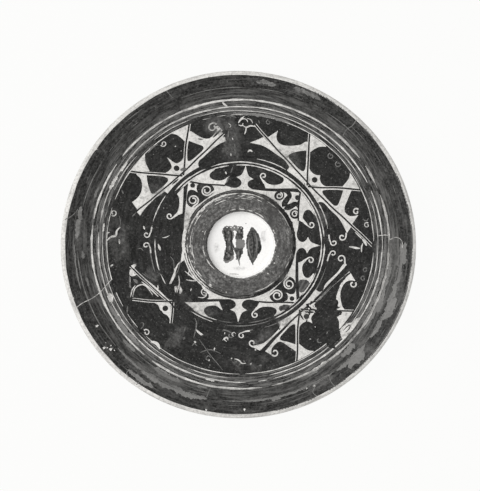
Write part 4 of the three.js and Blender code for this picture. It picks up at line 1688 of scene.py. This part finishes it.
def plate_materials(colours):
    """The plate's materials, in the order of the paints."""
    c = {name: tuple(getattr(colours, name)) for name in PlateColours.__annotations__}
    return [
        # Fine iron slip, brushed on thick and fired black: satin, with a faint grey bloom of wear.
        thrown_ceramic(
            "black_slip_brushed", c["slip"], c["worn"],
            roughness=0.42, tone=0.4, streak=0.07, mottle=0.09, speckle=0.5, cover=0.12, patch=0.5,
        ),
        # Bare earthenware left in reserve: matt and pale, freckled with soil, and stained dark in places.
        thrown_ceramic(
            "earthenware_reserved", c["clay"], c["soil"],
            roughness=0.72, tone=0.08, streak=0.08, mottle=0.3, speckle=0.55, cover=0.18, patch=0.85,
        ),
        # Thin lines of bare clay, which soil and rubbing left greyer and broken.
        thrown_ceramic(
            "earthenware_thin_lines", c["clay"], c["soil"],
            roughness=0.7, tone=0.1, streak=0.4, mottle=0.4, speckle=0.4, cover=0.16, patch=0.85,
        ),
        # The faintest lines, where only a grey trace of the drawing is left in the slip.
        thrown_ceramic(
            "grey_trace_worn", c["worn"], c["slip"],
            roughness=0.6, tone=0.2, streak=0.3, mottle=0.6, speckle=0.4, cover=0.14, patch=0.8,
        ),
        # Thinner slip laid on the rim while the wheel turned: dark, with fine lines round the plate.
        thrown_ceramic(
            "black_slip_turned", c["slip"], c["worn"],
            roughness=0.46, tone=0.5, streak=0.22, mottle=0.2, speckle=0.5, cover=0.18, patch=0.55,
        ),
        # The same slip on the hollow wall and on two lobes by the inner square, thin enough for the
        # grey body to show through in streaks.
        thrown_ceramic(
            "black_slip_thinned", c["wall_slip"], c["worn"],
            roughness=0.48, tone=0.4, streak=0.5, mottle=0.22, speckle=0.4, cover=0.18, patch=0.55,
        ),
        # The same slip on the ridges, rubbed to a streaky middle grey.
        thrown_ceramic(
            "black_slip_rubbed", c["slip"], c["worn"],
            roughness=0.5, tone=0.4, streak=0.72, mottle=0.3, speckle=0.6, cover=0.2, patch=0.7,
        ),
        # Thin slip let down with water: a dark grey, freckled and blotched.
        thrown_ceramic(
            "grey_slip_wash", c["wash"], c["soil"],
            roughness=0.6, tone=0.5, streak=0.85, mottle=0.9, speckle=0.7, cover=0.4, patch=0.95,
        ),
        # White clay ground, burnished and smooth: the palest part, hardly stained.
        thrown_ceramic(
            "white_ground_burnished", c["ground"], c["worn"],
            roughness=0.6, tone=0.02, streak=0.03, mottle=0.06, speckle=0.2, cover=0.02, patch=0.5,
        ),
        # The picture's black, laid thinly and freckled where it wore.
        thrown_ceramic(
            "black_slip_thin", c["figure"], c["worn"],
            roughness=0.55, tone=0.3, streak=0.1, mottle=0.5, speckle=0.6, cover=0.2, patch=0.7,
        ),
        # Earthenware that was wiped clean of slip, on the lip and under the plate.
        thrown_ceramic(
            "earthenware_wiped", c["clay"], c["worn"],
            roughness=0.75, tone=0.08, streak=0.45, mottle=0.45, speckle=0.4, cover=0.14, patch=0.7,
        ),
        # Slip flaked off down to a smooth grey skin.
        thrown_ceramic(
            "grey_slip_skin", c["worn"], c["wall_slip"],
            roughness=0.6, tone=0.1, streak=0.1, mottle=0.2, speckle=0.3, cover=0, patch=0.2,
        ),
    ]


# Operators.


class PLATE_OT_body(bpy.types.Operator):
    """Make the painted plate over its CAD body"""

    bl_idname = "plate.body"
    bl_label = "Plate"

    def execute(self, context):
        scene = context.scene
        mesh = plate_mesh(section_of(scene.plate_sizes))
        if not mesh.polygons:
            raise RuntimeError("the plate's mesh came out empty")
        for material in plate_materials(scene.plate_colours):
            mesh.materials.append(material)
        plate = bpy.data.objects.new("painted_plate", mesh)
        scene.collection.objects.link(plate)
        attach(plate, "root")
        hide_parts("plate")
        return {"FINISHED"}


# Where the camera stands over the plate, a little off its centre, as in the photograph, then the width
# of its sensor, both in millimetres, and how far it sees, in metres.
CAMERA_OFF_CENTRE = (0.3, -1.1)
SENSOR_WIDTH = 36.0
FARTHEST_SEEN = 20.0

# The key light: its direction round the plate, its height over the horizon, distance and size.
KEY_AZIMUTH = math.radians(163)
KEY_ELEVATION = math.radians(60)
KEY_DISTANCE = 1.5
KEY_SIZE = 1.3

# The floor: half its width, the size of the paper's fibres in millimetres, how dark the paper is before
# it is lit from below, and how strong that light is.
FLOOR_HALF = 8.0
FIBRE_SIZE = 3
PAPER_SHARES = (0.020, 0.024)
FLOOR_GLOW = 0.965


class PLATE_OT_stage(bpy.types.Operator):
    """Make the pale floor, the soft lights and the camera"""

    bl_idname = "plate.stage"
    bl_label = "Stage"

    def execute(self, context):
        scene = context.scene
        settings = scene.plate_stage
        square = ((-1, -1), (1, -1), (1, 1), (-1, 1))
        corners = [(x * FLOOR_HALF, y * FLOOR_HALF, 0) for x, y in square]
        mesh = bpy.data.meshes.new("studio_floor")
        mesh.from_pydata(corners, [], [(0, 1, 2, 3)])
        mesh.materials.append(paper_floor(tuple(settings.floor_colour)))
        floor = bpy.data.objects.new("studio_floor", mesh)
        scene.collection.objects.link(floor)

        light = bpy.data.lights.new("key_light", "AREA")
        light.energy = settings.key_power
        light.size = KEY_SIZE
        key = bpy.data.objects.new("key_light", light)
        level = math.cos(KEY_ELEVATION)
        across, up = math.cos(KEY_AZIMUTH) * level, math.sin(KEY_AZIMUTH) * level
        back = Vector((across, up, math.sin(KEY_ELEVATION)))
        key.location = back * KEY_DISTANCE
        key.rotation_euler = (-back).to_track_quat("-Z", "Y").to_euler()
        scene.collection.objects.link(key)

        world = bpy.data.worlds.new("even_light")
        world.use_nodes = True
        sky = world.node_tree.nodes["Background"]
        sky.inputs["Color"].default_value = (1, 1, 1, 1)
        sky.inputs["Strength"].default_value = settings.fill_strength
        scene.world = world

        lens = bpy.data.cameras.new("camera")
        lens.sensor_fit = "HORIZONTAL"
        lens.sensor_width = SENSOR_WIDTH
        distance = settings.camera_height - PLATE_HIGH.z
        lens.lens = SENSOR_WIDTH * distance / settings.view_width
        lens.clip_end = FARTHEST_SEEN
        camera = bpy.data.objects.new("camera", lens)
        camera.location = (CAMERA_OFF_CENTRE[0] * MM, CAMERA_OFF_CENTRE[1] * MM, settings.camera_height)
        scene.collection.objects.link(camera)
        scene.camera = camera
        scene.view_settings.view_transform = "Standard"
        return {"FINISHED"}


def paper_floor(pale):
    """Matt white paper over a light box, which keeps the shadow round the plate faint."""
    material = bpy.data.materials.new("white_paper_matt")
    material.use_nodes = True
    tree = material.node_tree
    tree.nodes.clear()
    place = add(tree, "ShaderNodeTexCoord").outputs["Object"]
    fibre = noise(tree, place, FIBRE_SIZE, detail=3.0)
    surface = mixed(tree, fibre, *[tinted(pale, dark) for dark in PAPER_SHARES])
    settings = {"Roughness": 0.9, "Specular IOR Level": 0.1}
    settings |= {"Emission Color": pale, "Emission Strength": FLOOR_GLOW}
    shader = add(tree, "ShaderNodeBsdfPrincipled", settings, {"Base Color": surface})
    add(tree, "ShaderNodeOutputMaterial", None, {"Surface": shader.outputs[0]})
    return material


class PLATE_PT_panel(bpy.types.Panel):
    """Lists the plate's settings and operators"""

    bl_idname = "PLATE_PT_panel"
    bl_label = "Painted Pottery Plate"
    bl_space_type = "VIEW_3D"
    bl_region_type = "UI"
    bl_category = "Plate"

    def draw(self, context):
        scene = context.scene
        for operator, settings in (
            ("plate.body", (scene.plate_sizes, scene.plate_colours)),
            ("plate.stage", (scene.plate_stage,)),
        ):
            box = self.layout.box()
            for group in settings:
                for name in type(group).__annotations__:
                    box.prop(group, name)
            box.operator(operator)


CLASSES = (PlateSizes, PlateColours, StageSettings, PLATE_OT_body, PLATE_OT_stage, PLATE_PT_panel)


def register():
    for cls in CLASSES:
        bpy.utils.register_class(cls)
    bpy.types.Scene.plate_sizes = bpy.props.PointerProperty(type=PlateSizes)
    bpy.types.Scene.plate_colours = bpy.props.PointerProperty(type=PlateColours)
    bpy.types.Scene.plate_stage = bpy.props.PointerProperty(type=StageSettings)


def unregister():
    del bpy.types.Scene.plate_stage
    del bpy.types.Scene.plate_colours
    del bpy.types.Scene.plate_sizes
    for cls in reversed(CLASSES):
        bpy.utils.unregister_class(cls)


def main():
    """Registers the add-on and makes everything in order."""
    register()
    bpy.ops.plate.body()
    bpy.ops.plate.stage()


if __name__ == "__main__":
    main()
